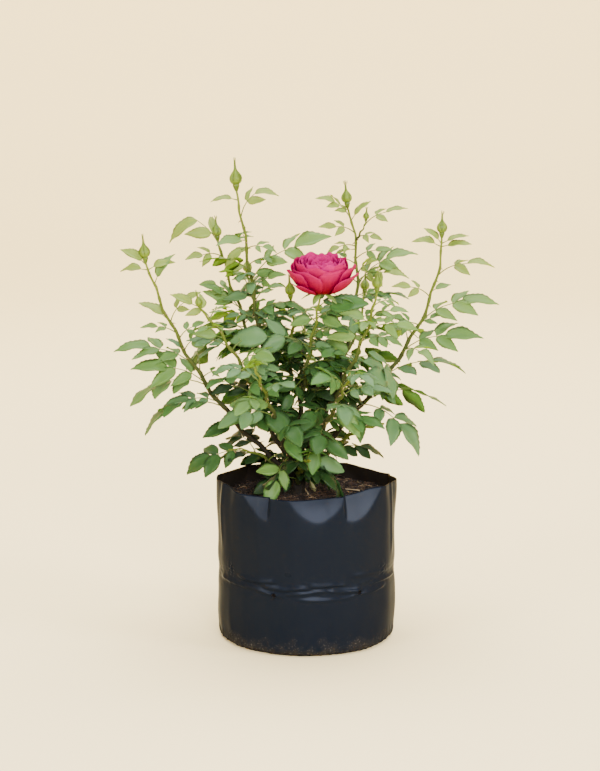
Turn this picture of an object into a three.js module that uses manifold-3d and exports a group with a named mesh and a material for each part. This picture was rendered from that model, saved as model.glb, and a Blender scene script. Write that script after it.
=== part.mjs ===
// A rose bush growing in a black polythene nursery bag. Millimetres, +Z up, the front is -Y.
// The origin is the middle of the bag's flat underside.
import * as THREE from "three";
import { mergeVertices } from "three/addons/utils/BufferGeometryUtils.js";
import Module from "manifold-3d";

const wasm = await Module();
wasm.setup();

// The bag: a tube of film 12 inches wide when flat, filled, with one crumpled belt and four drain holes.
const BAG = { radius: 97, height: 171, film: 1.2, underCorner: 9, cornerCut: 0.28, sides: 28 };
// The belt's grooves lie at grooveAt of its reach from its middle. A higher sharpness makes a narrower bell.
const BELT = {
  height: 67,
  reach: 7,
  groove: 1.6,
  grooveAt: 0.75,
  grooveSharpness: 10,
  ridge: 0.6,
  ridgeSharpness: 6,
  rings: [-13, -5, 0, 5, 13],
};
const DRAIN = { radius: 2.6, sides: 6, bearings: [248, 304, 68, 124] };
const MIX = { top: 157, edge: 152, flat: 34, clearance: 0.4 };

// The trunk: a short stump with a flared foot and a swollen head that every cane springs from. headAt is the
// head's place up the trunk, and the two sharpnesses say how soon the flare and the head thin out.
const TRUNK = {
  foot: [-9.5, 0],
  top: 187,
  flare: 10.5,
  flareSharpness: 5,
  waist: 6.8,
  head: 11.5,
  headAt: 0.82,
  headSharpness: 3.4,
  sides: 8,
  steps: 6,
};
const CLEARANCE = 0.3; // left between a limb and what carries it
const ROOM = 0.4; // kept between a leaf and everything that isn't in its own spray
const CANE = { foot: 3.1, thins: 1.7, sides: 5, steps: 5, boughSteps: 3, boughShare: 0.3 };

// A leaf: one stalk that bends down at its middle, with side leaflets in pairs and a longer one at its end.
// spread and dip are the degrees that a leaflet stands off its stalk and hangs below it, bend is how far the
// stalk's two halves rise and fall, and pairs are the places of the pairs from the stalk's root. A leaf that
// is shorter than fullReach has only the first pair.
const LEAF = {
  stalk: 0.9,
  stalkDepth: 1.5,
  terminal: 42,
  lateral: 31,
  breadth: 0.68,
  broadest: 0.45,
  thick: 1.1,
  hang: 0.14,
  spread: 62,
  dip: 17,
  bend: 14,
  pairs: [0.76, 0.36],
  fullReach: 54,
};
// The corners of a leaf's section, across and up: flat above, with a keel below. Its room has a ridge too.
const SECTION = [[1, 0], [-1, 0], [0, -1]];
const ROOM_SECTION = [[1, 0], [0, 1], [-1, 0], [0, -1]];
// How leaves stand on a stem, in degrees: rise is the lowest leaf's and what is added by the top, youngRise
// is added under a bud, and bearing, riseSpread and roll are what the seeded draws may change. shorter is the
// share of a leaf that a draw may take off, and fade is how late up the stem they shorten.
const GROWTH = {
  rise: [7, 20],
  youngRise: 12,
  riseSpread: 16,
  bearing: 14,
  roll: 60,
  shorter: 0.12,
  fade: 1.6,
};
// Where a leaf would touch something, it is turned by these degrees and shortened by these shares in turn.
const TRIES = [[0, 1], [24, 1], [-24, 1], [0, 0.78], [40, 0.78], [-40, 0.78]];
// A bud's profile, as radius and height: its stalk, its hip, its neck, its bulb and its drawn-out sepals.
const BUD = {
  profile: [[0, -1], [1.2, -1], [3.4, 4], [2.9, 7], [6, 12.5], [2.2, 20], [0, 33]],
  sides: 5,
};
// The bloom: rings of cupped petals round a heart. A petal's rim runs along the ring's radius and height, and
// breadth is the angle that it spans, in radians. droop is how far its corners hang.
const BLOOM = {
  tilt: 5,
  petal: 1,
  foot: 0.25,
  steepness: 1.2,
  droop: 5,
  above: 2.9,
  heartSides: 8,
  heart: [[0, -2], [7, -2], [12, 2], [12, 22], [7, 37], [0, 34]],
  rings: [
    { radius: 37, height: 14, count: 5, breadth: 1.2, cup: 1.0, turn: 0 },
    { radius: 31.8, height: 30, count: 4, breadth: 1.45, cup: 0.8, turn: 36 },
    { radius: 22.2, height: 39, count: 3, breadth: 1.8, cup: 0.6, turn: 10 },
  ],
};

// Each cane's curve has a foot, two guides and a tip. turns are the compass bearings of its leaves from the
// lowest up, where 0 is to the right and 90 away from the front. reach is how long they are at its foot and
// at its tip.
const CANES = [
  {
    name: "left",
    guides: [[-14, -3, 180], [-91, -8, 235], [-143, -19, 327], [-170, -30, 414]],
    turns: [300, 190, 20, 184, 92, 183, 330, 180, 262, 20, 150, 200, 350],
    reach: [114, 30],
    bud: 0.92,
  },
  {
    name: "right",
    guides: [[-6, -2, 180], [57, 1, 260], [143, 4, 326], [145, 10, 436]],
    turns: [345, 162, 4, 262, 350, 100, 4, 186, 300, 176, 356, 190],
    reach: [113, 58],
    bud: 0.86,
  },
  {
    name: "tall",
    guides: [[-12, 3, 186], [-51, 6, 283], [-56, 11, 388], [-75, 15, 486]],
    turns: [250, 60, 196, 330, 100, 182, 6, 220, 4],
    reach: [84, 42],
    bud: 1.05,
  },
  {
    name: "back_right",
    guides: [[-5, 5, 186], [37, 18, 272], [74, 40, 372], [45, 60, 463]],
    turns: [72, 336, 200, 104, 6, 182, 30, 184, 356],
    reach: [80, 40],
    bud: 0.9,
  },
  {
    name: "back_left",
    guides: [[-13, 5, 183], [-33, 19, 268], [-75, 37, 347], [-97, 55, 427]],
    turns: [128, 252, 80, 190, 320, 160, 20, 184],
    reach: [82, 44],
    bud: 0.85,
  },
  {
    name: "bloom",
    guides: [[-9, -5, 186], [-12, -15, 255], [4, -27, 318], [14, -40, 377]],
    turns: [232, 300, 172, 10, 240, 320, 150, 350],
    reach: [66, 44],
  },
  {
    name: "bloom_side",
    guides: [[-12, 7, 186], [-28, 12, 262], [-8, 8, 326], [-17, 2, 370]],
    turns: [126, 180, 72, 204, 160],
    reach: [58, 30],
    bud: 0.85,
  },
  {
    name: "left_low",
    guides: [[-14, -7, 183], [-49, -21, 248], [-66, -43, 319], [-111, -60, 369]],
    turns: [268, 160, 220, 300, 176, 240, 60],
    reach: [72, 40],
    bud: 0.62,
  },
  {
    name: "right_low",
    guides: [[-6, -7, 183], [14, -23, 255], [64, -42, 316], [73, -65, 387]],
    turns: [250, 12, 300, 190, 350, 250, 30],
    reach: [72, 36],
    bud: 0.85,
  },
  {
    name: "rear_left",
    guides: [[-13, 8, 180], [-24, 60, 256], [-58, 112, 326], [-66, 132, 378]],
    turns: [150, 60, 210, 100, 170, 40, 120],
    reach: [80, 44],
    bud: 0.8,
  },
  {
    name: "rear_right",
    guides: [[-6, 8, 180], [21, 60, 252], [60, 112, 312], [66, 128, 358]],
    turns: [40, 120, 340, 80, 10, 140, 60],
    reach: [80, 44],
    bud: 0.8,
  },
  {
    name: "rear_middle",
    guides: [[-9, 9, 184], [-7, 50, 262], [-4, 122, 300], [-2, 152, 338]],
    turns: [100, 20, 160, 80, 120, 60],
    reach: [76, 50],
  },
  {
    name: "front_left",
    guides: [[-13, -8, 178], [-28, -60, 245], [-46, -104, 291], [-53, -124, 318]],
    turns: [280, 200, 240, 310, 190, 260],
    reach: [74, 50],
  },
  {
    name: "front_right",
    guides: [[-7, -8, 178], [16, -60, 245], [39, -104, 285], [44, -120, 312]],
    turns: [262, 330, 280, 350, 240, 300],
    reach: [74, 50],
  },
];

// The low shoots spring from the trunk itself and hang over the bag's rim.
const LOW_SHOOTS = [
  {
    name: "low_left",
    guides: [[-15, -2, 170], [-34, -4, 196], [-62, -12, 212], [-84, -20, 210]],
    turns: [250, 186, 120, 196],
    reach: [80, 70],
  },
  {
    name: "low_right",
    guides: [[-5, 0, 172], [22, 4, 206], [54, 0, 232], [84, -8, 236]],
    turns: [300, 20, 60, 348],
    reach: [80, 66],
  },
  {
    name: "low_front",
    guides: [[-9, -6, 170], [-8, -30, 192], [-4, -52, 206], [4, -66, 208]],
    turns: [214, 318, 256, 286],
    reach: [62, 50],
  },
  {
    name: "low_back",
    guides: [[-10, 6, 172], [-6, 34, 200], [0, 62, 216], [6, 86, 218]],
    turns: [150, 30, 110, 74],
    reach: [76, 60],
  },
];

const COLOURS = {
  film: ["#1d2027", 0.35],
  mix: ["#3b2a1e", 0.95],
  bark: ["#4b4a2c", 0.8],
  cane: ["#6d7f3a", 0.6],
  leaf: ["#557f45", 0.55],
  petal: ["#e0174f", 0.5],
};

const radians = THREE.MathUtils.degToRad;
const point = (at) => new THREE.Vector3(...at);

// A repeatable number from 0 to 1 for a plant part's seed and a draw's place in its row.
function draw(seed, place) {
  const wave = Math.sin(seed * 12.9898 + place * 78.233) * 43758.5453;
  return wave - Math.floor(wave);
}

// A unit vector at a compass bearing and a rise above the level, both in degrees.
function towards(bearing, rise) {
  const [turn, lift] = [radians(bearing), radians(rise)];
  return new THREE.Vector3(
    Math.cos(turn) * Math.cos(lift),
    Math.sin(turn) * Math.cos(lift),
    Math.sin(lift),
  );
}

// The closed solid of a geometry, with its shared corners merged.
function solidOf(geometry) {
  const bare = geometry.clone();
  bare.deleteAttribute("normal");
  bare.deleteAttribute("uv");
  const welded = mergeVertices(bare, 1e-3);
  return new wasm.Manifold(
    new wasm.Mesh({
      numProp: 3,
      vertProperties: welded.attributes.position.array,
      triVerts: new Uint32Array(welded.index.array),
    }),
  );
}

// A three.js geometry with flat faces from a solid.
function geometryOf(solid) {
  const mesh = solid.getMesh();
  const geometry = new THREE.BufferGeometry();
  geometry.setAttribute("position", new THREE.BufferAttribute(mesh.vertProperties, 3));
  geometry.setIndex(new THREE.BufferAttribute(mesh.triVerts, 1));
  const flat = geometry.toNonIndexed();
  flat.computeVertexNormals();
  return flat;
}

// Moves every corner of a geometry by a function of its place.
function reshape(geometry, move) {
  const places = geometry.attributes.position;
  const corner = new THREE.Vector3();
  for (let i = 0; i < places.count; i++) {
    const moved = move(corner.fromBufferAttribute(places, i));
    places.setXYZ(i, moved.x, moved.y, moved.z);
  }
  return geometry;
}

const joined = (solids) => solids.reduce((whole, next) => whole.add(next));
const largest = (solid) =>
  solid.decompose().reduce((best, next) => (next.volume() > best.volume() ? next : best));

// A cylinder bent along a stretch of a curve, with a radius that follows radiusAt.
function limb(curve, from, to, radiusAt, sides, steps) {
  const tangent = curve.getTangent((from + to) / 2);
  const steep = Math.abs(tangent.z) > 0.7;
  const across = steep ? new THREE.Vector3(0, 1, 0) : new THREE.Vector3(0, 0, 1);
  return reshape(new THREE.CylinderGeometry(1, 1, 1, sides, steps), (corner) => {
    const share = from + (corner.y + 0.5) * (to - from);
    const along = curve.getTangent(share);
    const side = new THREE.Vector3().crossVectors(along, across).normalize();
    const lift = new THREE.Vector3().crossVectors(side, along);
    return curve
      .getPoint(share)
      .addScaledVector(side, corner.x * radiusAt(share))
      .addScaledVector(lift, corner.z * radiusAt(share));
  });
}

// How far the film stands from the axis at a height, without its thickness: grooves of the crumpled belt
// above and below a low ridge.
function filmRadius(height) {
  const away = (height - BELT.height) / BELT.reach;
  const groove = BELT.groove * Math.exp(-BELT.grooveSharpness * (Math.abs(away) - BELT.grooveAt) ** 2);
  const ridge = BELT.ridge * Math.exp(-BELT.ridgeSharpness * away ** 2);
  return BAG.radius - groove + ridge;
}

function growBag() {
  const { radius, height, film, underCorner, cornerCut, sides } = BAG;
  const belt = BELT.rings.map((away) => BELT.height + away);
  const heights = [underCorner, ...belt, height];
  const outside = heights.map((z) => new THREE.Vector2(filmRadius(z), z));
  const inside = [
    [radius - film, height],
    [radius - film - BELT.groove, belt.at(-1)],
    [radius - film - BELT.groove, belt[0]],
    [radius - film, underCorner + film],
  ].map(([r, z]) => new THREE.Vector2(r, z));
  const profile = [
    new THREE.Vector2(0, 0),
    new THREE.Vector2(radius - underCorner, 0),
    new THREE.Vector2(radius - underCorner * cornerCut, underCorner * cornerCut),
    ...outside,
    ...inside,
    new THREE.Vector2(radius - underCorner - film * 0.5, film),
    new THREE.Vector2(0, film),
  ];
  const drains = DRAIN.bearings.map((bearing) => {
    const drain = new THREE.CylinderGeometry(DRAIN.radius, DRAIN.radius, film * 12, DRAIN.sides);
    drain.rotateZ(Math.PI / 2).translate(radius, 0, 0).rotateZ(radians(bearing));
    return solidOf(drain.translate(0, 0, BELT.height));
  });
  const shell = solidOf(new THREE.LatheGeometry(profile, sides).rotateX(Math.PI / 2));
  return drains.reduce((bag, drain) => bag.subtract(drain), shell);
}

function pottingMix() {
  const { film, radius, underCorner } = BAG;
  const wall = radius - film - BELT.groove - MIX.clearance;
  const profile = [
    [0, film + MIX.clearance],
    [radius - underCorner - 3, film + MIX.clearance],
    [wall, underCorner + film + 3],
    [wall, MIX.edge],
    [(wall + MIX.flat) / 2, (MIX.top * 2 + MIX.edge) / 3],
    [MIX.flat, MIX.top],
    [0, MIX.top],
  ].map(([r, z]) => new THREE.Vector2(r, z));
  return solidOf(new THREE.LatheGeometry(profile, BAG.sides).rotateX(Math.PI / 2));
}

// The stump's thickness from its foot to its head: a flare, a waist and a swollen head.
function trunkRadius(share) {
  const { flare, flareSharpness, waist, head, headAt, headSharpness } = TRUNK;
  const low = (flare - waist) * Math.exp(-((share * flareSharpness) ** 2));
  const high = (head - waist) * Math.exp(-(((share - headAt) * headSharpness) ** 2));
  return waist + low + high;
}

function trunk(extra = 0) {
  const [x, y] = TRUNK.foot;
  const foot = new THREE.Vector3(x, y, MIX.top + CLEARANCE - extra);
  const axis = new THREE.LineCurve3(foot, new THREE.Vector3(x, y, TRUNK.top + extra));
  return solidOf(limb(axis, 0, 1, (share) => trunkRadius(share) + extra, TRUNK.sides, TRUNK.steps));
}

const curveOf = (plan) => new THREE.CubicBezierCurve3(...plan.guides.map(point));
const caneRadius = (share) => CANE.foot - CANE.thins * share;

// A closed spindle: it starts at a root, runs through rings of the same corners and ends in a tip. A ring
// has a centre, a side and a lift, a half breadth and a depth.
function spindle(root, rings, tip, corners) {
  const shape = new THREE.ConeGeometry(1, 1, corners.length, rings.length);
  return reshape(shape, ({ x, y, z }) => {
    const level = Math.round((y + 0.5) * rings.length);
    if (level === rings.length) {
      return tip;
    }
    if (Math.hypot(x, z) < 1e-6) {
      return root;
    }
    const turn = Math.atan2(x, z) / (2 * Math.PI) + 1;
    const [across, up] = corners[Math.round(turn * corners.length) % corners.length];
    const { centre, side, lift, breadth, depth } = rings[level];
    return centre.clone().addScaledVector(side, across * breadth).addScaledVector(lift, up * depth);
  });
}

// A leaflet's broadest ring and its tip, which hangs a little below it.
function bladeOf(root, ahead, side, length, extra) {
  const upright = new THREE.Vector3().crossVectors(ahead, side);
  const along = ahead.clone().addScaledVector(upright, -Math.tan(radians(LEAF.dip))).normalize();
  const lift = new THREE.Vector3().crossVectors(along, side);
  const breadth = (length * LEAF.breadth) / 2 + extra;
  const centre = root.clone().addScaledVector(along, length * LEAF.broadest);
  const tip = root.clone().addScaledVector(along, length + extra).addScaledVector(lift, -length * LEAF.hang);
  return [{ centre, side, lift, breadth, depth: LEAF.thick + extra }, tip];
}

// The pieces of a leaf that grows from a place on a stem: its stalk with the end leaflet first, then the side
// leaflets. extra is the room kept around each piece.
function leafPieces(leaf, corners, extra) {
  const { root, bearing, rise, reach, pairs, roll } = leaf;
  const terminal = Math.min(LEAF.terminal, reach * 0.48);
  const half = (reach - terminal) / 2;
  const headings = [towards(bearing, rise + LEAF.bend), towards(bearing, rise - LEAF.bend)];
  const bend = root.clone().addScaledVector(headings[0], half);
  const end = bend.clone().addScaledVector(headings[1], half);
  const sideOf = (ahead) => towards(bearing + 90, 0).applyAxisAngle(ahead, roll);
  const ring = (centre, ahead) => {
    const side = sideOf(ahead);
    const lift = new THREE.Vector3().crossVectors(ahead, side);
    return { centre, side, lift, breadth: LEAF.stalk + extra, depth: LEAF.stalkDepth + extra };
  };
  const [shoulders, tip] = bladeOf(end, headings[1], sideOf(headings[1]), terminal, extra);
  const rings = [ring(root, headings[0]), ring(bend, headings[0]), ring(end, headings[1]), shoulders];
  const start = root.clone().addScaledVector(rings[0].lift, -LEAF.stalkDepth / 3);
  const pieces = [spindle(start, rings, tip, corners)];
  LEAF.pairs.slice(0, pairs).forEach((share, pair) => {
    const [from, to, ahead] = share > 0.5 ? [bend, end, headings[1]] : [root, bend, headings[0]];
    const upright = new THREE.Vector3().crossVectors(ahead, sideOf(ahead));
    const place = from.clone().lerp(to, share > 0.5 ? share * 2 - 1 : share * 2);
    place.addScaledVector(upright, -LEAF.stalkDepth / 3);
    const length = terminal * (LEAF.lateral / LEAF.terminal) * (1 - 0.12 * pair);
    for (const hand of [-1, 1]) {
      const outward = ahead.clone().applyAxisAngle(upright, hand * radians(LEAF.spread));
      const side = new THREE.Vector3().crossVectors(upright, outward);
      const [ring, tip] = bladeOf(place, outward, side, length, extra);
      pieces.push(spindle(place, [ring], tip, corners));
    }
  });
  return pieces;
}

// Where each leaf of a spray grows and how it is held: evenly spaced up the stem, by the plan's bearings and
// seeded draws, and pointing further up under a bud.
function leavesOf(plan, seed, from) {
  const curve = curveOf(plan);
  return plan.turns.map((turn, place) => {
    const height = (place + 0.35) / plan.turns.length;
    const share = from + (0.99 - from) * height;
    const young = plan.bud ? Math.max(0, height - 0.6) / 0.4 : 0;
    const longest = THREE.MathUtils.lerp(...plan.reach, height ** GROWTH.fade);
    const reach = longest * (1 - GROWTH.shorter * draw(seed, place + 80));
    const lift = GROWTH.rise[0] + GROWTH.rise[1] * height + GROWTH.youngRise * young;
    return {
      root: curve.getPoint(share),
      bearing: turn + GROWTH.bearing * (draw(seed, place) - 0.5),
      rise: lift + GROWTH.riseSpread * (draw(seed, place + 40) - 0.5),
      reach,
      pairs: reach > LEAF.fullReach ? 2 : 1,
      roll: radians(GROWTH.roll * (draw(seed, place + 120) - 0.5)),
    };
  });
}

// A bud with its green urn below and its drawn-out sepals above, standing on a stem's end.
function bud(curve, scale) {
  const lathe = new THREE.LatheGeometry(
    BUD.profile.map(([r, z]) => new THREE.Vector2(r * scale, z * scale)),
    BUD.sides,
  ).rotateX(Math.PI / 2);
  const lean = new THREE.Quaternion().setFromUnitVectors(
    new THREE.Vector3(0, 0, 1),
    curve.getTangent(1).add(new THREE.Vector3(0, 0, 2)).normalize(),
  );
  lathe.applyQuaternion(lean);
  return solidOf(lathe.translate(...curve.getPoint(1).toArray()));
}

// One petal: a curved plate round the bloom's axis. Its foot is at the axis, it runs out and up to its
// ring's radius and height, and its rim rolls outwards.
function petal(ring, bearing) {
  const plate = new THREE.BoxGeometry(1, 1, 1, 2, 1, 2);
  return reshape(plate, ({ x, y, z }) => {
    const rise = z + 0.5;
    const skin = y * BLOOM.petal;
    const cup = Math.sin((rise * Math.PI) / 2) ** ring.cup;
    const out = ring.radius * (BLOOM.foot + (1 - BLOOM.foot) * cup) + skin;
    const breadth = ring.breadth * Math.sin(Math.PI * (0.3 + 0.47 * rise)) ** 0.7;
    const turn = radians(bearing) - x * breadth;
    const up = ring.height * rise ** BLOOM.steepness - x ** 2 * BLOOM.droop - skin * 0.6;
    return new THREE.Vector3(out * Math.cos(turn), out * Math.sin(turn), up);
  });
}

function bloom(curve) {
  const profile = BLOOM.heart.map(([r, z]) => new THREE.Vector2(r, z));
  const pieces = [solidOf(new THREE.LatheGeometry(profile, BLOOM.heartSides).rotateX(Math.PI / 2))];
  for (const ring of BLOOM.rings) {
    for (let i = 0; i < ring.count; i++) {
      pieces.push(solidOf(petal(ring, ring.turn + (360 / ring.count) * i)));
    }
  }
  const place = new THREE.Matrix4().makeRotationX(radians(BLOOM.tilt));
  const foot = curve.getPoint(1).add(new THREE.Vector3(0, 0, BLOOM.above));
  place.setPosition(foot);
  return joined(pieces).transform(place.toArray());
}

const group = new THREE.Group();
const standing = []; // every finished solid with its box, for keeping leaves clear of it

function overlaps(a, b) {
  return [0, 1, 2].every((axis) => a.min[axis] < b.max[axis] && b.min[axis] < a.max[axis]);
}

function touches(solid, carriers) {
  const box = solid.boundingBox();
  return standing.some(
    (other) =>
      !carriers.includes(other.owner) &&
      overlaps(box, other.box) &&
      !solid.intersect(other.solid).isEmpty(),
  );
}

function stand(owner, solid) {
  standing.push({ owner, solid, box: solid.boundingBox() });
}

function add(name, solid, finish) {
  const [color, roughness] = COLOURS[finish];
  const material = new THREE.MeshStandardMaterial({ color, roughness, metalness: 0 });
  const mesh = new THREE.Mesh(geometryOf(solid), material);
  mesh.name = name;
  group.add(mesh);
}

// The bag, the mix and the trunk stand first.
const fixed = { grow_bag: [growBag(), "film"], potting_mix: [pottingMix(), "mix"], trunk: [trunk(), "bark"] };
for (const [name, [solid, finish]] of Object.entries(fixed)) {
  add(name, solid, finish);
  stand(name, solid);
}

// Each cane is a bough up to its spray, and the spray's stem from there on. Each is cut clear of the trunk
// and of the limbs before it.
const limbs = [];
const trunkRoom = trunk(CLEARANCE);
const plans = [
  ...CANES.map((plan) => ({ ...plan, from: CANE.boughShare })),
  ...LOW_SHOOTS.map((plan) => ({ ...plan, from: 0 })),
];
plans.forEach((plan) => {
  const curve = curveOf(plan);
  const length = curve.getLength();
  const gap = CLEARANCE / length;
  const stretches = plan.from
    ? [["cane_", 0, plan.from], ["spray_", plan.from + gap, 1]]
    : [["spray_", 0, 1]];
  for (const [kind, from, to] of stretches) {
    const steps = kind === "cane_" ? CANE.boughSteps : CANE.steps;
    const make = (extra) => solidOf(limb(curve, from, to, (s) => caneRadius(s) + extra, CANE.sides, steps));
    const whole = limbs
      .filter((other) => other.plan !== plan)
      .reduce((left, other) => left.subtract(other.room), make(0).subtract(trunkRoom));
    limbs.push({ plan, kind, name: kind + plan.name, solid: largest(whole), room: make(CLEARANCE) });
  }
});
for (const { name, kind, solid } of limbs) {
  stand(name, solid);
  if (kind === "cane_") {
    add(name, solid, "cane");
  }
}

// The bloom stands on its own cane.
const bloomSolid = bloom(curveOf(CANES.find((plan) => plan.name === "bloom")));
add("rose_bloom", bloomSolid, "petal");
stand("rose_bloom", bloomSolid);

// The sprays: the leaves are offered one a spray in turn, and one that would touch another piece is left out.
const sprays = limbs
  .filter(({ kind }) => kind === "spray_")
  .map((stem, index) => ({
    ...stem,
    leaves: leavesOf(stem.plan, index + 1, stem.plan.from),
    pieces: [stem.solid],
  }));
for (const spray of sprays) {
  if (spray.plan.bud) {
    const tip = bud(curveOf(spray.plan), spray.plan.bud);
    stand(spray.name, tip);
    spray.pieces.push(tip);
  }
}
const most = Math.max(...sprays.map(({ leaves }) => leaves.length));
for (let round = 0; round < most; round++) {
  for (const spray of sprays.filter(({ leaves }) => round < leaves.length)) {
    const owner = `${spray.name} leaf ${round}`;
    const wanted = spray.leaves[round];
    for (const [turn, share] of TRIES) {
      const leaf = { ...wanted, bearing: wanted.bearing + turn, reach: wanted.reach * share };
      const roomy = leafPieces(leaf, ROOM_SECTION, ROOM).map(solidOf);
      if (touches(roomy[0], [spray.name])) {
        continue;
      }
      leafPieces(leaf, SECTION, 0).map(solidOf).forEach((piece, index) => {
        if (index === 0 || !touches(roomy[index], [owner])) {
          stand(owner, piece);
          spray.pieces.push(piece);
        }
      });
      break;
    }
  }
}
for (const spray of sprays) {
  add(spray.name, largest(joined(spray.pieces)), "leaf");
}

export default group;
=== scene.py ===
"""A rose bush in a black polythene nursery bag: film, potting mix, bark, stems, leaves, buds and the bloom.

Shapes are worked out in millimetres, with the front at -Y, and are written to their meshes in metres.
"""

import math
from dataclasses import astuple, dataclass

import bpy
import numpy as np
from bpy.props import FloatProperty, FloatVectorProperty, IntProperty, PointerProperty
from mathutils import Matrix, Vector


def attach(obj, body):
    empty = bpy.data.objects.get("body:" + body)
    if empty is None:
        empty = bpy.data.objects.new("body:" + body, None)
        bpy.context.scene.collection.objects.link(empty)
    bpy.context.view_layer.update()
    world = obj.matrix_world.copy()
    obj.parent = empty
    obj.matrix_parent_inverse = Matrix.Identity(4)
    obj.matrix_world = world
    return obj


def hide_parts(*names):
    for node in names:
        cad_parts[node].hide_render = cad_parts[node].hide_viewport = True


bl_info = {
    "name": "Potted Rose Bush",
    "version": (1, 0, 0),
    "blender": (4, 5, 0),
    "location": "3D View > Sidebar > Rose Bush",
    "description": "Grows a rose bush in a nursery bag from seeded rules",
    "category": "Add Mesh",
}

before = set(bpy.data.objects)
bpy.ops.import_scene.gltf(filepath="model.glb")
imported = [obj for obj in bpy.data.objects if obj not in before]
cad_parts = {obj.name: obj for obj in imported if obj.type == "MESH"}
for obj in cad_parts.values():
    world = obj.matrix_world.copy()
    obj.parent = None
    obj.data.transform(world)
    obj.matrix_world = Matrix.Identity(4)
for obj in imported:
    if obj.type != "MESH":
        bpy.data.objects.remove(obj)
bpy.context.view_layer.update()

MM = 0.001

BOUGH_SHARE = 0.3  # the share of a cane that is bare wood
CANE_FOOT, CANE_THINS = 3.1, 2.05  # a cane's radius at its foot, and how much is gone at its tip, in mm
STEM_SIDES = 10
KNEES, KNEE = 11, 1.7  # bends along a cane, and how far each stands out in mm
FIRST_LEAF = 0.35  # how far above the wood the lowest leaf grows, as a part of the gap to the next
LAST_LEAF = 0.99  # where the leafy part ends, as a share of the cane
GOLDEN = 137.5  # degrees between one leaf and the next round a stem
FINER_BELOW = (0.8, 0.55)  # how high up the leafy part the first finer leaf of a gap grows, and the others
FINER_WITHIN = 72.0  # how far from the stump's axis finer leaves grow, in mm
TO_BACK = 0.8  # the least sine of a bearing that points to the back
TINT_TOP, TINT_STEP = 430.0, 50.0  # leaves are one tint darker for each step below the top, partly as older leaves and partly as painted shade, both in mm
CORE_SHADE_TINTS, CORE_SHADE_TO = 3.6, 90.0  # how many tints darker leaves are at the stump, as painted shade of the bush's core, and how far out in mm
ARCH = 12  # how far a stalk rises above its leaf's line and then falls below it, in degrees
FINER_DRAWS, HELD_DRAWS = 200, 900  # where the draws of the finer leaves and of the held leaves start
STUMP_AT = np.array([-9.5, 0.0, 0.0])  # where the stump's axis meets the ground, in mm
# The heights of the stump's two ends and its radii, in mm.
STUMP = {"bottom": 154.0, "top": 187.0, "flare": 10.5, "waist": 6.8, "head": 11.5}


@dataclass
class Leaf:
    """A leaf that is held one by one: its share up the cane, its bearing, rise and reach, how far its blade
    leans to the front, its pairs of side leaflets, how far its end leaflet hangs, and by how many tints it
    is lighter, tints standing both for age and for painted shade. Angles are in degrees and lengths in mm."""

    share: float
    bearing: float
    rise: float
    reach: float
    lean: float
    pairs: int
    hang: float = 0.0
    younger: float = 0.0


@dataclass
class Plan:
    """One cane: its curve's foot, guides and tip, the bearings of its rule's leaves from the lowest up,
    their reach at its foot and its tip, the scale of its bud, the share where its leaves start, how thick
    it is, and the seed of its draws.

    From the share rule_to upwards the rule grows only leaves that point away from the front. There the
    leaves stand clear of the crown, and they are held one by one."""

    guides: tuple
    turns: tuple
    reach: tuple
    bud: float = 0.0
    start: float = BOUGH_SHARE
    rule_to: float = 1.0
    held: tuple = ()
    thick: float = 1.0
    seed: int = 0


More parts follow.
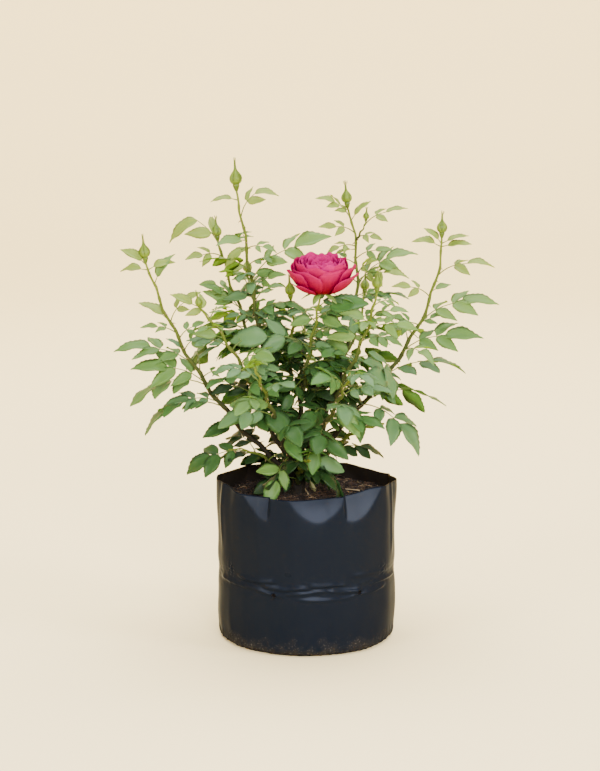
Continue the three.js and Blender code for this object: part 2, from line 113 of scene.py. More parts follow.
PLANS = {
    "left": Plan(
        ((-14, -3, 180), (-91, -8, 235), (-143, -19, 327), (-170, -30, 414)),
        (300, 190, 20, 184, 92, 183, 330, 180, 262, 20, 150, 200, 350), (114, 30), 0.92, rule_to=0.5, held=(
            Leaf(0.99, 200, 44, 33, 36, 0), Leaf(0.97, 170, 6, 33, 41, 0), Leaf(0.97, 350, 30, 31, 36, 0),
            Leaf(0.91, 330, 66, 40, 31, 0), Leaf(0.75, 340, 56, 50, 35, 1), Leaf(0.76, 170, 40, 40, 21, 0),
            Leaf(0.70, 190, 22, 42, 26, 1), Leaf(0.68, 20, 40, 36, 46, 1), Leaf(0.63, 160, 42, 26, 16, 0),
            Leaf(0.63, 330, 44, 46, 41, 1), Leaf(0.56, 176, 22, 94, 21, 2), Leaf(0.48, 196, 26, 88, 41, 2),
            Leaf(0.51, 10, 24, 33, 26, 1), Leaf(0.39, 190, 10, 64, 36, 2), Leaf(0.41, 60, 38, 31, 36, 1),
            Leaf(0.29, 215, -6, 42, 46, 0))),
    "right": Plan(
        ((-6, -2, 180), (57, 1, 260), (143, 4, 326), (145, 10, 436)),
        (345, 162, 4, 262, 350, 100, 4, 186, 300, 176, 356, 190), (113, 58), 0.86, rule_to=0.5, held=(
            Leaf(0.98, 200, 54, 26, 26, 0), Leaf(0.97, 185, 26, 33, 26, 0), Leaf(0.98, 350, 26, 31, 26, 0),
            Leaf(0.97, 330, 14, 35, 31, 0), Leaf(0.87, 345, 24, 66, 26, 1), Leaf(0.79, 195, 28, 46, 41, 1),
            Leaf(0.81, 10, 26, 24, 31, 0), Leaf(0.66, 200, 40, 36, 36, 1), Leaf(0.69, 352, 28, 92, 26, 2),
            Leaf(0.68, 215, 6, 46, 36, 1), Leaf(0.66, 20, 34, 38, 31, 1), Leaf(0.57, 342, 22, 92, 41, 2),
            Leaf(0.57, 300, 8, 60, 35, 1), Leaf(0.47, 205, -4, 31, 36, 0), Leaf(0.46, 10, -6, 21, 26, 0),
            Leaf(0.41, 310, -18, 35, 40, 1), Leaf(0.33, 332, -22, 90, 14, 2),
            Leaf(0.30, 280, -42, 40, 36, 0))),
    "tall": Plan(
        ((-12, 3, 186), (-51, 6, 283), (-56, 11, 388), (-75, 15, 486)),
        (250, 60, 196, 330, 100, 182, 6, 220, 4), (84, 42), 1.05, rule_to=0.74, held=(
            Leaf(0.90, 345, 60, 58, 31, 1, hang=34),
            Leaf(0.965, 190, 14, 31, 26, 0), Leaf(0.79, 330, 10, 38, 36, 1),
            Leaf(0.82, 235, 8, 44, 46, 0), Leaf(0.68, 350, 38, 102, 31, 2), Leaf(0.64, 320, 38, 48, 46, 1),
            Leaf(0.80, 200, -34, 33, 50, 0), Leaf(0.70, 340, 8, 33, 55, 0), Leaf(0.62, 195, 4, 35, 55, 0),
            Leaf(0.56, 350, 20, 42, 45, 1), Leaf(0.54, 185, 14, 36, 45, 1))),
    "back_right": Plan(
        ((-5, 5, 186), (37, 18, 272), (74, 40, 372), (45, 60, 463)),
        (72, 336, 200, 104, 6, 182, 30, 184, 356), (80, 40), 0.9, rule_to=0.74, held=(
            Leaf(0.95, 195, 48, 50, 21, 2), Leaf(0.95, 340, 54, 31, 21, 0), Leaf(0.88, 325, 12, 35, 36, 1),
            Leaf(0.85, 205, 2, 38, 31, 1), Leaf(0.84, 190, -4, 26, 16, 0), Leaf(0.70, 350, 44, 80, 26, 2),
            Leaf(0.74, 300, 40, 40, 41, 1), Leaf(0.72, 325, 20, 66, 31, 2), Leaf(0.66, 340, 10, 40, 45, 1),
            Leaf(0.60, 195, 8, 40, 50, 0), Leaf(0.56, 352, 22, 48, 40, 1), Leaf(0.80, 350, 26, 46, 40, 1),
            Leaf(0.78, 196, 22, 40, 45, 1), Leaf(0.90, 200, 20, 44, 40, 1))),
    "back_left": Plan(
        ((-13, 5, 183), (-33, 19, 268), (-75, 37, 347), (-97, 55, 427)),
        (128, 252, 80, 190, 320, 160, 20, 184), (82, 44), 0.85, rule_to=0.76, held=(
            Leaf(0.91, 184, 57, 96, 34, 1, hang=64),
            Leaf(0.93, 210, 8, 46, 46, 1), Leaf(0.91, 350, 38, 33, 26, 0),
            Leaf(0.85, 20, 32, 24, 36, 0), Leaf(0.75, 170, 28, 46, 41, 1), Leaf(0.70, 185, 31, 46, 45, 0),
            Leaf(0.68, 196, 44, 58, 35, 1), Leaf(0.62, 190, 10, 35, 46, 0), Leaf(0.58, 350, 34, 40, 40, 1),
            Leaf(0.52, 190, 24, 50, 40, 1))),
    "bloom": Plan(
        ((-9, -5, 186), (-12, -15, 255), (4, -27, 318), (14, -40, 377)),
        (232, 300, 172, 10, 240, 320, 150, 350), (66, 44), held=(
            Leaf(0.70, 192, 16, 92, 60, 1, younger=1.6), Leaf(0.52, 235, -30, 54, 60, 1, younger=0.6),
            Leaf(0.35, 215, -35, 42, 60, 0), Leaf(0.75, 322, -22, 35, 55, 0, younger=1),
            Leaf(0.90, 330, -16, 33, 60, 0, younger=0.8), Leaf(0.88, 200, -6, 30, 60, 0),
            Leaf(0.93, 350, 12, 56, 55, 0, younger=-0.6))),
    "bloom_side": Plan(
        ((-12, 7, 186), (-28, 12, 262), (-8, 8, 326), (-17, 2, 370)),
        (126, 180, 72, 204, 160), (58, 30), 0.85, held=(
            Leaf(0.60, 200, 10, 44, 45, 1), Leaf(0.78, 350, 12, 40, 45, 1))),
    "left_low": Plan(
        ((-14, -7, 183), (-49, -21, 248), (-66, -43, 319), (-111, -60, 369)),
        (268, 160, 220, 300, 176, 240, 60), (72, 40), 0.62, held=(
            Leaf(0.42, 215, -28, 46, 60, 0), Leaf(0.90, 187, 44, 56, 45, 1), Leaf(0.80, 178, 14, 36, 50, 0),
            Leaf(0.72, 30, 30, 44, 50, 1), Leaf(0.60, 350, 10, 40, 55, 0))),
    "right_low": Plan(
        ((-6, -7, 183), (14, -23, 255), (64, -42, 316), (73, -65, 387)),
        (250, 12, 300, 190, 350, 250, 30), (72, 36), 0.85, held=(
            Leaf(0.66, 165, 20, 46, 60, 0, younger=0.5), Leaf(0.80, 352, 12, 58, 50, 1),
            Leaf(0.76, 188, 6, 40, 60, 0), Leaf(0.86, 340, 26, 44, 35, 1), Leaf(0.84, 190, 30, 35, 40, 0))),
    "rear_left": Plan(
        ((-13, 8, 180), (-24, 60, 256), (-58, 112, 326), (-66, 132, 378)),
        (150, 60, 210, 100, 170, 40, 120), (80, 44), 0.8),
    "rear_right": Plan(
        ((-6, 8, 180), (21, 60, 252), (60, 112, 312), (66, 128, 358)),
        (40, 120, 340, 80, 10, 140, 60), (80, 44), 0.8),
    "rear_middle": Plan(
        ((-9, 9, 184), (-7, 50, 262), (-4, 122, 300), (-2, 152, 338)),
        (100, 20, 160, 80, 120, 60), (76, 50)),
    "front_left": Plan(
        ((-13, -8, 178), (-28, -60, 245), (-46, -104, 291), (-53, -124, 318)),
        (280, 200, 240, 310, 190, 260), (74, 50), held=(
            Leaf(0.30, 300, -24, 40, 60, 0), Leaf(0.14, 238, -38, 66, 70, 1, younger=3.3))),
    "front_right": Plan(
        ((-7, -8, 178), (16, -60, 245), (39, -104, 285), (44, -120, 312)),
        (262, 330, 280, 350, 240, 300), (74, 50), held=(
            Leaf(0.30, 195, 2, 40, 65, 0), Leaf(0.25, 262, -62, 36, 60, 0, younger=1),
            Leaf(0.30, 330, -28, 40, 60, 0), Leaf(0.60, 320, -40, 44, 60, 0, younger=0.5),
            Leaf(0.15, 345, -24, 40, 84, 0, younger=3))),
    "low_left": Plan(
        ((-15, -2, 170), (-34, -4, 196), (-62, -12, 212), (-84, -20, 210)),
        (250, 186, 120, 196), (80, 70), start=0.0, rule_to=0.4, thick=0.6, held=(
            Leaf(0.67, 188, -6, 78, 41, 2),)),
    "low_right": Plan(
        ((-5, 0, 172), (22, 4, 206), (54, 0, 232), (84, -8, 236)),
        (300, 20, 60, 348), (80, 66), start=0.0, rule_to=0.6),
    "low_front": Plan(
        ((-9, -6, 170), (-8, -30, 192), (-4, -52, 206), (4, -66, 208)),
        (214, 318, 256, 286), (62, 50), start=0.0),
    "low_back": Plan(
        ((-10, 6, 172), (-6, 34, 200), (0, 62, 216), (6, 86, 218)),
        (150, 30, 110, 74), (76, 60), start=0.0),
    "back_right_side": Plan(
        ((55, 45, 429), (57, 45, 436), (63, 46, 442), (64.5, 46, 449)),
        (), (40, 30), 0.5, start=0.0, thick=0.45, held=(Leaf(0.75, 350, 34, 54, 26, 1),)),
}
for number, plan in enumerate(PLANS.values(), 1):
    plan.seed = number


def length_setting(name, description, millimetres):
    """A setting for a length, with its default given in millimetres."""
    return FloatProperty(name=name, description=description, default=millimetres * MM, unit="LENGTH")


class BagSettings(bpy.types.PropertyGroup):
    """Sizes and colours of the nursery bag."""

    radius: length_setting("Radius", "Filled radius", 97)
    height: length_setting("Height", "Height to the rim", 171)
    film: length_setting("Film", "Thickness of the film", 0.4)
    belt: length_setting("Belt", "Height of the crumpled belt", 67)
    drain: length_setting("Drain hole", "Radius of a hole", 2.4)
    # Near black; its blue cast is painted reflection of a bluish sky.
    colour: FloatVectorProperty(
        name="Film colour", description="Black film in daylight", subtype="COLOR", size=3,
        default=(0.0030, 0.0048, 0.0095))


class BushSettings(bpy.types.PropertyGroup):
    """How the bush grows."""

    between: IntProperty(
        name="Finer leaves", description="Leaves grown between two of a plan", default=3, min=0)
    thorn_gap: length_setting("Thorn gap", "Cane between thorns", 15)
    terminal: length_setting("End leaflet", "Longest end leaflet", 42)


class BloomSettings(bpy.types.PropertyGroup):
    """Sizes of the open flower."""

    radius: length_setting("Radius", "Reach of the outer petals", 37)
    height: length_setting("Height", "Height of the bloom", 40)


def draw(seed, place):
    """A repeatable number from 0 to 1: what follows the point of a large sine of the seed and the place. The
    place only keeps the draws of one seed apart."""
    wave = np.sin(np.asarray(seed) * 12.9898 + np.asarray(place) * 78.233) * 43758.5453
    return wave - np.floor(wave)


def stray(seed, place, width):
    """A repeatable number within half a width of 0."""
    return width * (draw(seed, place) - 0.5)


def unit(vectors):
    """The vectors divided by their own lengths."""
    return vectors / np.maximum(np.linalg.norm(vectors, axis=-1, keepdims=True), 1e-9)


def towards(bearing, rise):
    """Unit vectors at compass bearings and rises above the level, in degrees."""
    lift = np.radians(rise)
    return around(np.cos(lift), np.radians(bearing), np.sin(lift))


def circle(count):
    """Angles evenly round the upright axis."""
    return np.linspace(0, math.tau, count, endpoint=False)


def around(out, turn, height):
    """Points at a distance from the upright axis, at an angle round it and at a height."""
    return np.stack(np.broadcast_arrays(out * np.cos(turn), out * np.sin(turn), height), -1)


def spun(x, y, angle):
    """Two coordinates turned by an angle from the first towards the second."""
    return x * np.cos(angle) - y * np.sin(angle), x * np.sin(angle) + y * np.cos(angle)


def turned(vectors, axes, degrees):
    """The vectors turned about unit axes, by the cosine and the sine of an angle."""
    angle = np.radians(degrees)[..., None]
    ahead = axes * np.sum(vectors * axes, -1, keepdims=True) * (1 - np.cos(angle))
    return vectors * np.cos(angle) + np.cross(axes, vectors) * np.sin(angle) + ahead


def ripple(seed, count, spans, *axes):
    """A smooth noise of about -1 to 1: sines of the axes in seeded directions, with spans of these mm."""
    source = np.random.default_rng(seed)
    total = 0.0
    for _ in range(count):
        slopes = source.normal(size=len(axes)) / np.array(spans)
        phase = source.uniform(0, math.tau)
        total = total + np.sin(math.tau * sum(s * a for s, a in zip(slopes, axes)) + phase)
    return total / math.sqrt(count)


def smooth(low, high, value):
    """0 below low, 1 above high, and an S curve of third power between them."""
    share = np.clip((value - low) / (high - low), 0, 1)
    return share * share * (3 - 2 * share)


def gap_to(bearing, degrees):
    """How far bearings are from one bearing, the shorter way round."""
    return (degrees - bearing + 180) % 360 - 180


def curve_point(plan, share):
    """Points of a plan's cubic Bezier curve: its guides weighed by powers of the share and of its rest."""
    t = np.asarray(share, float)[..., None]
    a, b, c, d = np.array(plan.guides, float)
    return (1 - t) ** 3 * a + 3 * (1 - t) ** 2 * t * b + 3 * (1 - t) * t ** 2 * c + t ** 3 * d


def curve_heading(plan, share):
    """The unit direction of a plan's curve: its guides' differences weighed by the squares of the share."""
    t = np.asarray(share, float)[..., None]
    a, b, c, d = np.array(plan.guides, float)
    return unit((1 - t) ** 2 * (b - a) + 2 * (1 - t) * t * (c - b) + t ** 2 * (d - c))


def cane_place(plan, share):
    """Points of a cane: its curve, bent to alternate sides at its knees. A triangle wave gives the bends,
    which fade out at the cane's foot and tip."""
    share = np.asarray(share, float)
    phase = share * KNEES * min(plan.thick, 1) + draw(plan.seed, 5)
    wave = 4 * np.abs(phase / 2 - np.floor(phase / 2 + 0.5)) - 1
    side = unit(np.cross(curve_heading(plan, share), [0.0, 1.0, 0.2]))
    fade = smooth(0, 0.12, share) * smooth(1, 0.9, share)
    return curve_point(plan, share) + side * (KNEE * wave * fade * plan.thick)[..., None]


def cane_radius(share):
    """A cane thins evenly from its foot to its tip."""
    return CANE_FOOT - CANE_THINS * share


def leaf_heights(plan):
    """How high up the leafy part of a cane the rule's leaves grow, from 0 to 1."""
    return (np.arange(len(plan.turns)) + FIRST_LEAF) / max(len(plan.turns), 1)


def leaf_shares(plan, heights):
    """The shares of a whole cane at heights up its leafy part."""
    return plan.start + (LAST_LEAF - plan.start) * heights


def from_stump(points):
    """How far points stand from the stump's axis."""
    return np.linalg.norm((points - STUMP_AT)[:, :2], axis=1)


def grid_faces(rows, columns, closed=False):
    """The four corners of each cell of a grid of points, row by row. A closed grid joins its last column
    to its first."""
    row = np.arange(rows - 1)[:, None] * columns
    column = np.arange(columns if closed else columns - 1)[None, :]
    beside = (column + 1) % columns
    cells = [row + column, row + beside, row + columns + beside, row + columns + column]
    return np.stack(cells, -1).reshape(-1, 4)


def repeated(faces, count, stride):
    """The faces of one shape, repeated for count shapes that follow each other in steps of stride points."""
    return (faces[None] + np.arange(count)[:, None, None] * stride).reshape(-1, faces.shape[1])


def capped(rows, columns):
    """The faces of a closed shape: rings of points, and after them the two points that close its ends."""
    corner = np.arange(columns)
    beside = (corner + 1) % columns
    last = (rows - 1) * columns
    foot = np.stack([np.full(columns, rows * columns), beside, corner], -1)
    tip = np.stack([np.full(columns, rows * columns + 1), last + corner, last + beside], -1)
    return [grid_faces(rows, columns, closed=True), np.concatenate([foot, tip])]


def tubes(paths, radii, sides):
    """Round tubes: at each point of each path, a ring of corners in the plane across its direction, and a
    centre point that closes each end."""
    count, steps = paths.shape[:2]
    ahead = unit(np.gradient(paths, axis=1))
    rarest = np.argmin(np.abs(ahead.mean(1)), axis=1)
    side = unit(np.cross(ahead, np.eye(3)[rarest][:, None]))
    lift = np.cross(ahead, side)
    turn = circle(sides)[:, None]
    outward = side[:, :, None] * np.cos(turn) + lift[:, :, None] * np.sin(turn)
    rings = paths[:, :, None] + outward * radii[:, :, None, None]
    ends = np.stack([paths[:, 0], paths[:, -1]], 1)
    points = np.concatenate([rings.reshape(count, -1, 3), ends], 1)
    faces = [repeated(some, count, points.shape[1]) for some in capped(steps, sides)]
    return points.reshape(-1, 3), faces


class Gathered:
    """Shapes on their way into one mesh: points in mm with their UV places and ages, and faces by their
    number of corners with their material slots."""

    def __init__(self):
        self.points, self.faces, self.slots, self.uvs, self.ages = [], [], [], [], []
        self.count = 0

    def add(self, points, faces, slots=(0, 0, 0), uv=None, age=None):
        faces = faces if isinstance(faces, list) else [faces]
        for some, slot in zip(faces, slots):
            self.faces.append(some + self.count)
            self.slots.append(np.full(len(some), slot))
        self.points.append(points)
        self.uvs.append(np.zeros((len(points), 2)) if uv is None else uv)
        self.ages.append(np.zeros(len(points)) if age is None else np.broadcast_to(age, len(points)))
        self.count += len(points)


def gather(*shapes):
    """Shapes of points and faces, gathered for one mesh."""
    gathered = Gathered()
    for points, faces in shapes:
        gathered.add(points, faces)
    return gathered


def make_piece(name, gathered, materials, stands_for=()):
    """Writes the gathered shapes to one mesh in metres, hangs it on the frame, and hides the model's parts
    that it stands for.
    """
    points = np.concatenate(gathered.points) * MM
    corners = np.concatenate([some.ravel() for some in gathered.faces])
    totals = np.concatenate([np.full(len(some), some.shape[1]) for some in gathered.faces])
    mesh = bpy.data.meshes.new(name)
    mesh.vertices.add(len(points))
    mesh.vertices.foreach_set("co", points.ravel())
    mesh.loops.add(len(corners))
    mesh.loops.foreach_set("vertex_index", corners.astype(np.int32))
    mesh.polygons.add(len(totals))
    mesh.polygons.foreach_set("loop_start", (np.cumsum(totals) - totals).astype(np.int32))
    mesh.polygons.foreach_set("material_index", np.concatenate(gathered.slots).astype(np.int32))
    mesh.polygons.foreach_set("use_smooth", np.ones(len(totals), bool))
    uv = mesh.uv_layers.new(name="UVMap")
    uv.data.foreach_set("uv", np.concatenate(gathered.uvs)[corners].astype(np.float32).ravel())
    age = mesh.attributes.new("age", "FLOAT", "POINT")
    age.data.foreach_set("value", np.concatenate(gathered.ages).astype(np.float32))
    mesh.update(calc_edges=True)
    for material in materials:
        mesh.materials.append(material)
    piece = bpy.data.objects.new(name, mesh)
    bpy.context.scene.collection.objects.link(piece)
    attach(piece, "root")
    if stands_for:
        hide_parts(*stands_for)
    return piece


def linear(colour):
    """An sRGB hex colour as linear red, green, blue and alpha."""
    parts = [int(colour[i:i + 2], 16) / 255 for i in (1, 3, 5)]
    return (*[p / 12.92 if p <= 0.04045 else ((p + 0.055) / 1.055) ** 2.4 for p in parts], 1.0)


def add_node(tree, kind, settings=None, inputs=None):
    """Adds a node with its settings, and sets or links its inputs."""
    node = tree.nodes.new(kind)
    for name, value in (settings or {}).items():
        setattr(node, name, value)
    for name, value in (inputs or {}).items():
        if isinstance(value, bpy.types.NodeSocket):
            tree.links.new(value, node.inputs[name])
        else:
            node.inputs[name].default_value = value
    return node


def new_material(name, colour, roughness, **sockets):
    """A material with its principled shader's own values set: (material, node tree, shader)."""
    material = bpy.data.materials.new(name)
    material.use_nodes = True
    tree = material.node_tree
    shader = tree.nodes["Principled BSDF"]
    shader.inputs["Base Color"].default_value = colour
    shader.inputs["Roughness"].default_value = roughness
    for socket, value in sockets.items():
        shader.inputs[socket.replace("_", " ")].default_value = value
    return material, tree, shader


def ramp(tree, factor, stops):
    """A colour ramp from a factor through (place, hex colour) stops."""
    node = add_node(tree, "ShaderNodeValToRGB", inputs={"Fac": factor})
    elements = node.color_ramp.elements
    while len(elements) < len(stops):
        elements.new(0.5)
    for element, (place, colour) in zip(elements, stops):
        element.position = place
        element.color = linear(colour)
    return node.outputs["Color"]


def object_place(tree):
    """The place on the object, in metres."""
    return add_node(tree, "ShaderNodeTexCoord").outputs["Object"]


def noise(tree, span_mm, detail=3.0, where=None):
    """The factor of a noise with patches of about span_mm, on object coordinates or on other ones."""
    node = add_node(tree, "ShaderNodeTexNoise", inputs={
        "Vector": object_place(tree) if where is None else where,
        "Scale": 1 / (span_mm * MM), "Detail": detail})
    return node.outputs["Fac"]


def moved(tree, value, start, end, low, high):
    """A value moved evenly from one range to another, and held inside it."""
    return add_node(tree, "ShaderNodeMapRange", inputs={
        "Value": value, "From Min": start, "From Max": end, "To Min": low, "To Max": high}).outputs[0]


def times_plus(tree, value, factor, more=0.0):
    """A value times a factor, plus one more."""
    return add_node(tree, "ShaderNodeMath", {"operation": "MULTIPLY_ADD"}, {
        0: value, 1: factor, 2: more}).outputs[0]


def blend(tree, factor, first, second, kind="MIX"):
    """Two colours, blended by a factor."""
    return add_node(tree, "ShaderNodeMix", {"data_type": "RGBA", "blend_type": kind}, {
        "Factor": factor, 6: first, 7: second}).outputs[2]


def bump(tree, shader, height, depth_mm):
    """Gives the shader a relief of a real depth."""
    node = add_node(tree, "ShaderNodeBump", inputs={
        "Height": height, "Distance": depth_mm * MM, "Strength": 1.0})
    tree.links.new(node.outputs["Normal"], shader.inputs["Normal"])


def film_material(colour):
    """Blown black polythene: smooth, with a soft gloss that handling makes uneven and fine dust
    dulls where the look is aslant, and with dried soil and specks of it at its foot. The gloss's blue tint
    is painted reflection of a bluish sky."""
    # The blue Specular Tint paints a bluish sky's reflection into the gloss.
    material, tree, shader = new_material(
        "blown_polythene_film", colour, 0.3, IOR=1.51, Specular_IOR_Level=0.06,
        Specular_Tint=(0.72, 0.8, 1.0, 1.0))
    height = add_node(tree, "ShaderNodeSeparateXYZ", inputs={"Vector": object_place(tree)}).outputs["Z"]
    uneven = times_plus(tree, noise(tree, 14, 6.0), 40 * MM, height)
    near_foot = moved(tree, uneven, 36 * MM, 18 * MM, 0.0, 0.8)
    soiled = blend(tree, near_foot, colour, linear("#25211c"))
    speck = moved(tree, noise(tree, 1.6), 0.58, 0.66, 0.0, 0.9)
    specked = blend(tree, times_plus(tree, speck, near_foot), soiled, linear("#5c574f"))
    tree.links.new(specked, shader.inputs["Base Color"])
    handled = moved(tree, noise(tree, 40, 1.0), 0.1, 0.9, 0.26, 0.34)
    tree.links.new(times_plus(tree, near_foot, 0.5, handled), shader.inputs["Roughness"])
    aslant = add_node(tree, "ShaderNodeLayerWeight", inputs={"Blend": 0.5}).outputs["Facing"]
    tree.links.new(moved(tree, aslant, 0.15, 0.5, 0.06, 0.012), shader.inputs["Specular IOR Level"])
    bump(tree, shader, noise(tree, 9, 1.0), 0.05)
    return material


def mix_material():
    """Moist potting mix of composted bark and coir: dark, matt and crumbly."""
    material, tree, shader = new_material("composted_bark_mix", linear("#241710"), 0.95, IOR=1.4)
    colour = ramp(tree, noise(tree, 3, 5.0), [(0.3, "#0b0705"), (0.54, "#20150d"), (0.74, "#4a3522")])
    tree.links.new(colour, shader.inputs["Base Color"])
    bump(tree, shader, noise(tree, 1.6, 5.0), 1.2)
    return material


def plain_material(name, colour, roughness, span_mm=4.0, spread=0.18, **sockets):
    """One colour that a fine noise makes a little lighter and darker, as grown things are."""
    material, tree, shader = new_material(name, linear(colour), roughness, **sockets)
    shade = moved(tree, noise(tree, span_mm), 0.3, 0.7, 1 - spread, 1 + spread)
    tree.links.new(blend(tree, 1.0, linear(colour), shade, "MULTIPLY"), shader.inputs["Base Color"])
    return material


def bark_material():
    """Rose bark: green and smooth on young wood, dark brown and split into fine upright furrows on old wood.
    The attribute age runs from 1 at the foot of a cane to 0 at its tip."""
    material, tree, shader = new_material(
        "rose_bark", linear("#4b4a2c"), 0.75, IOR=1.45, Specular_IOR_Level=0.2)
    age = add_node(tree, "ShaderNodeAttribute", {"attribute_name": "age"}).outputs["Fac"]
    colour = ramp(tree, times_plus(tree, noise(tree, 5, 5.0), 0.30, age), [
        (0.0, "#636f22"), (0.30, "#4b5819"), (0.55, "#353f15"), (0.80, "#20220f"), (0.96, "#15130a"),
        (1.0, "#17130c")])
    tree.links.new(colour, shader.inputs["Base Color"])
    drawn_up = add_node(tree, "ShaderNodeMapping", inputs={
        "Vector": object_place(tree), "Scale": (1.0, 1.0, 0.18)}).outputs[0]
    furrows = noise(tree, 1.1, 4.0, drawn_up)
    bump(tree, shader, times_plus(tree, furrows, moved(tree, age, 0.45, 0.95, 0.0, 1.0)), 0.7)
    return material


def leaf_materials(tint):
    """The thinly waxed upper face of a rose leaflet, whose greyer colour is a painted sheen of the sky, and
    its duller lower face, whose yellower colour paints light shining through the leaf, each of one colour.
    The wax is broken, so that it reflects about a third of what its index gives."""
    name, upper, lower = tint
    top = new_material(f"leaf_face_{name}", linear(upper), 0.45, IOR=1.45, Specular_IOR_Level=0.16)
    back = new_material(f"leaf_back_{name}", linear(lower), 0.6, IOR=1.4, Specular_IOR_Level=0.1)
    return [top[0], back[0]]


def petal_material(name, stops):
    """Velvety petals: dark crimson at their foot and deep pink towards the rim, where v of the UV map is
    1."""
    material, tree, shader = new_material(name, linear("#78002c"), 0.7, IOR=1.4, Specular_IOR_Level=0.08)
    place = add_node(tree, "ShaderNodeUVMap", {"uv_map": "UVMap"}).outputs["UV"]
    up = add_node(tree, "ShaderNodeSeparateXYZ", inputs={"Vector": place}).outputs["Y"]
    uneven = times_plus(tree, noise(tree, 6), 0.18, up)
    tree.links.new(ramp(tree, uneven, stops), shader.inputs["Base Color"])
    return material


# The crumpled belt's folds, each a ridge through (bearing, height) places that fades out at its ends, with
# how proud it stands and how far its lower side runs, in mm. The same folds turned half way round make its
# back.
BELT_FOLDS = (
    (((218, 81.5), (230, 80), (242, 80.2), (254, 82.5)), 1.7, 2.1),
    (((238, 77.5), (247, 74.5), (256, 74), (266, 76), (275, 75.5)), 2.0, 2.0),
    (((196, 73.5), (212, 72.5), (234, 72), (249, 67.5), (258, 66.5)), 1.5, 1.8),
    (((254, 69), (269, 70.5), (277, 72.5), (287, 72.5)), 1.3, 1.8),
    (((268, 79), (278, 78), (288, 78.7), (299, 78)), 1.6, 1.8),
    (((281, 73), (292, 71), (305, 69.5), (310, 68)), 1.9, 1.9),
    (((262, 64.5), (280, 62.8), (296, 63.8), (306, 67)), 0.8, 2.2),
    (((303, 66), (317, 65.7), (333, 68.5)), 1.3, 1.6),
    (((297, 87.5), (312, 86.6), (326, 85), (336, 82)), 0.9, 3.0),
    (((302, 76.5), (314, 78), (322, 79)), 1.0, 1.5),
    (((312, 74), (328, 74.5), (352, 74)), 1.3, 1.6),
)
# Flats under the rim that lean back and catch the sky: the bearing that each faces, its drop and lean in
# mm, and the bearings where a crease ends it.
RIM_FLATS = (
    (246, 26, 7.2, 218, 245), (277.5, 26, 6.4, 250, 296), (302, 28, 7.8, 295.5, 332),
    (206, 30, 2.2, 190, 218), (343, 30, 2.0, 332, 356), (150, 24, 6.0, 134, 176), (118, 26, 7.0, 98, 134),
    (80, 24, 6.5, 60, 98), (42, 26, 7.0, 18, 60), (12, 24, 3.0, -4, 18),
)
# Upright creases: bearing, half width in degrees, how proud they stand, from which height they show.
CREASES = ((-18, 2.0, 1.2, 90), (200, 2.4, 1.2, 100), (20, 2.6, 1.0, 90), (162, 2.6, 1.0, 90))
PINCHES = ((213, 87), (327, 88), (33, 86), (148, 88))  # crumpled spots: bearing and height
# The rim's cut edge, as bearings and heights.
RIM = (
    (0, 174), (23, 171), (41, 172), (56, 173), (90, 173), (126, 173.5), (175, 174.5), (204, 177),
    (214, 174.5), (222, 172), (240, 171.5), (266, 170.5), (292, 173), (306, 174), (320, 177.5), (335, 176.5),
)
DRAINS = ((249, -0.2), (305, 0.9), (69, 1.0), (125, -1.0))  # bearings, and heights above the belt's middle
LEAN_BACK = 2.5  # how far a fold's upper side runs, for each mm that the fold stands proud
FOLD_GAIN = 1.2  # how many times prouder the folds stand than their rows say
FOLD_END = 7.0  # the degrees over which a fold fades out at its ends
SEAM = 100  # a bearing that none of the folds crosses
FLAT_EASE = 0.4  # how softly the edge of a rim's flat turns, in mm
FILM_COLUMNS, MIX_COLUMNS = 360, 180
CORNER, CORNER_ROWS = 9.0, 9  # the film's lower corner: its radius in mm, and the rows of points round it
BASE_ROWS = 9
FINE_ROW = 0.8  # the height of the film's rows about its belt, in mm
HOLE_ACROSS, HOLE_OVER = 2, 4  # columns and rows of the film's grid from a drain hole's middle to its edge
HOLE_EDGE = 1.001  # the edge of a drain hole, as a multiple of the hole's size
HOLE_EASE = 3.0  # where the grid is at rest again round a drain hole, as a multiple of the hole's size


def fold_ridges(degrees, height):
    """The folds' ridges: a bell across each fold's height, faded by an S curve at both of its ends.

    Above its crest a fold leans back evenly, in step with how proud it stands. Below it drops in steeply.
    Where two folds overlap, the prouder one hides the other."""
    out = 0.0
    for points, proud, below in BELT_FOLDS:
        bearings, heights = np.array(points).T
        first, last = bearings[0], bearings[-1]
        for turned_by in (0, 180):
            along = (degrees - turned_by - SEAM) % 360 + SEAM
            crest = np.interp(along, bearings, heights)
            fade = smooth(first, first + FOLD_END, along) * smooth(last, last - FOLD_END, along)
            side = np.where(height > crest, LEAN_BACK * proud, below)
            ridge = FOLD_GAIN * proud * fade * np.exp(-(np.abs(height - crest) / side) ** 1.5)
            out = np.maximum(out, ridge)
    return out


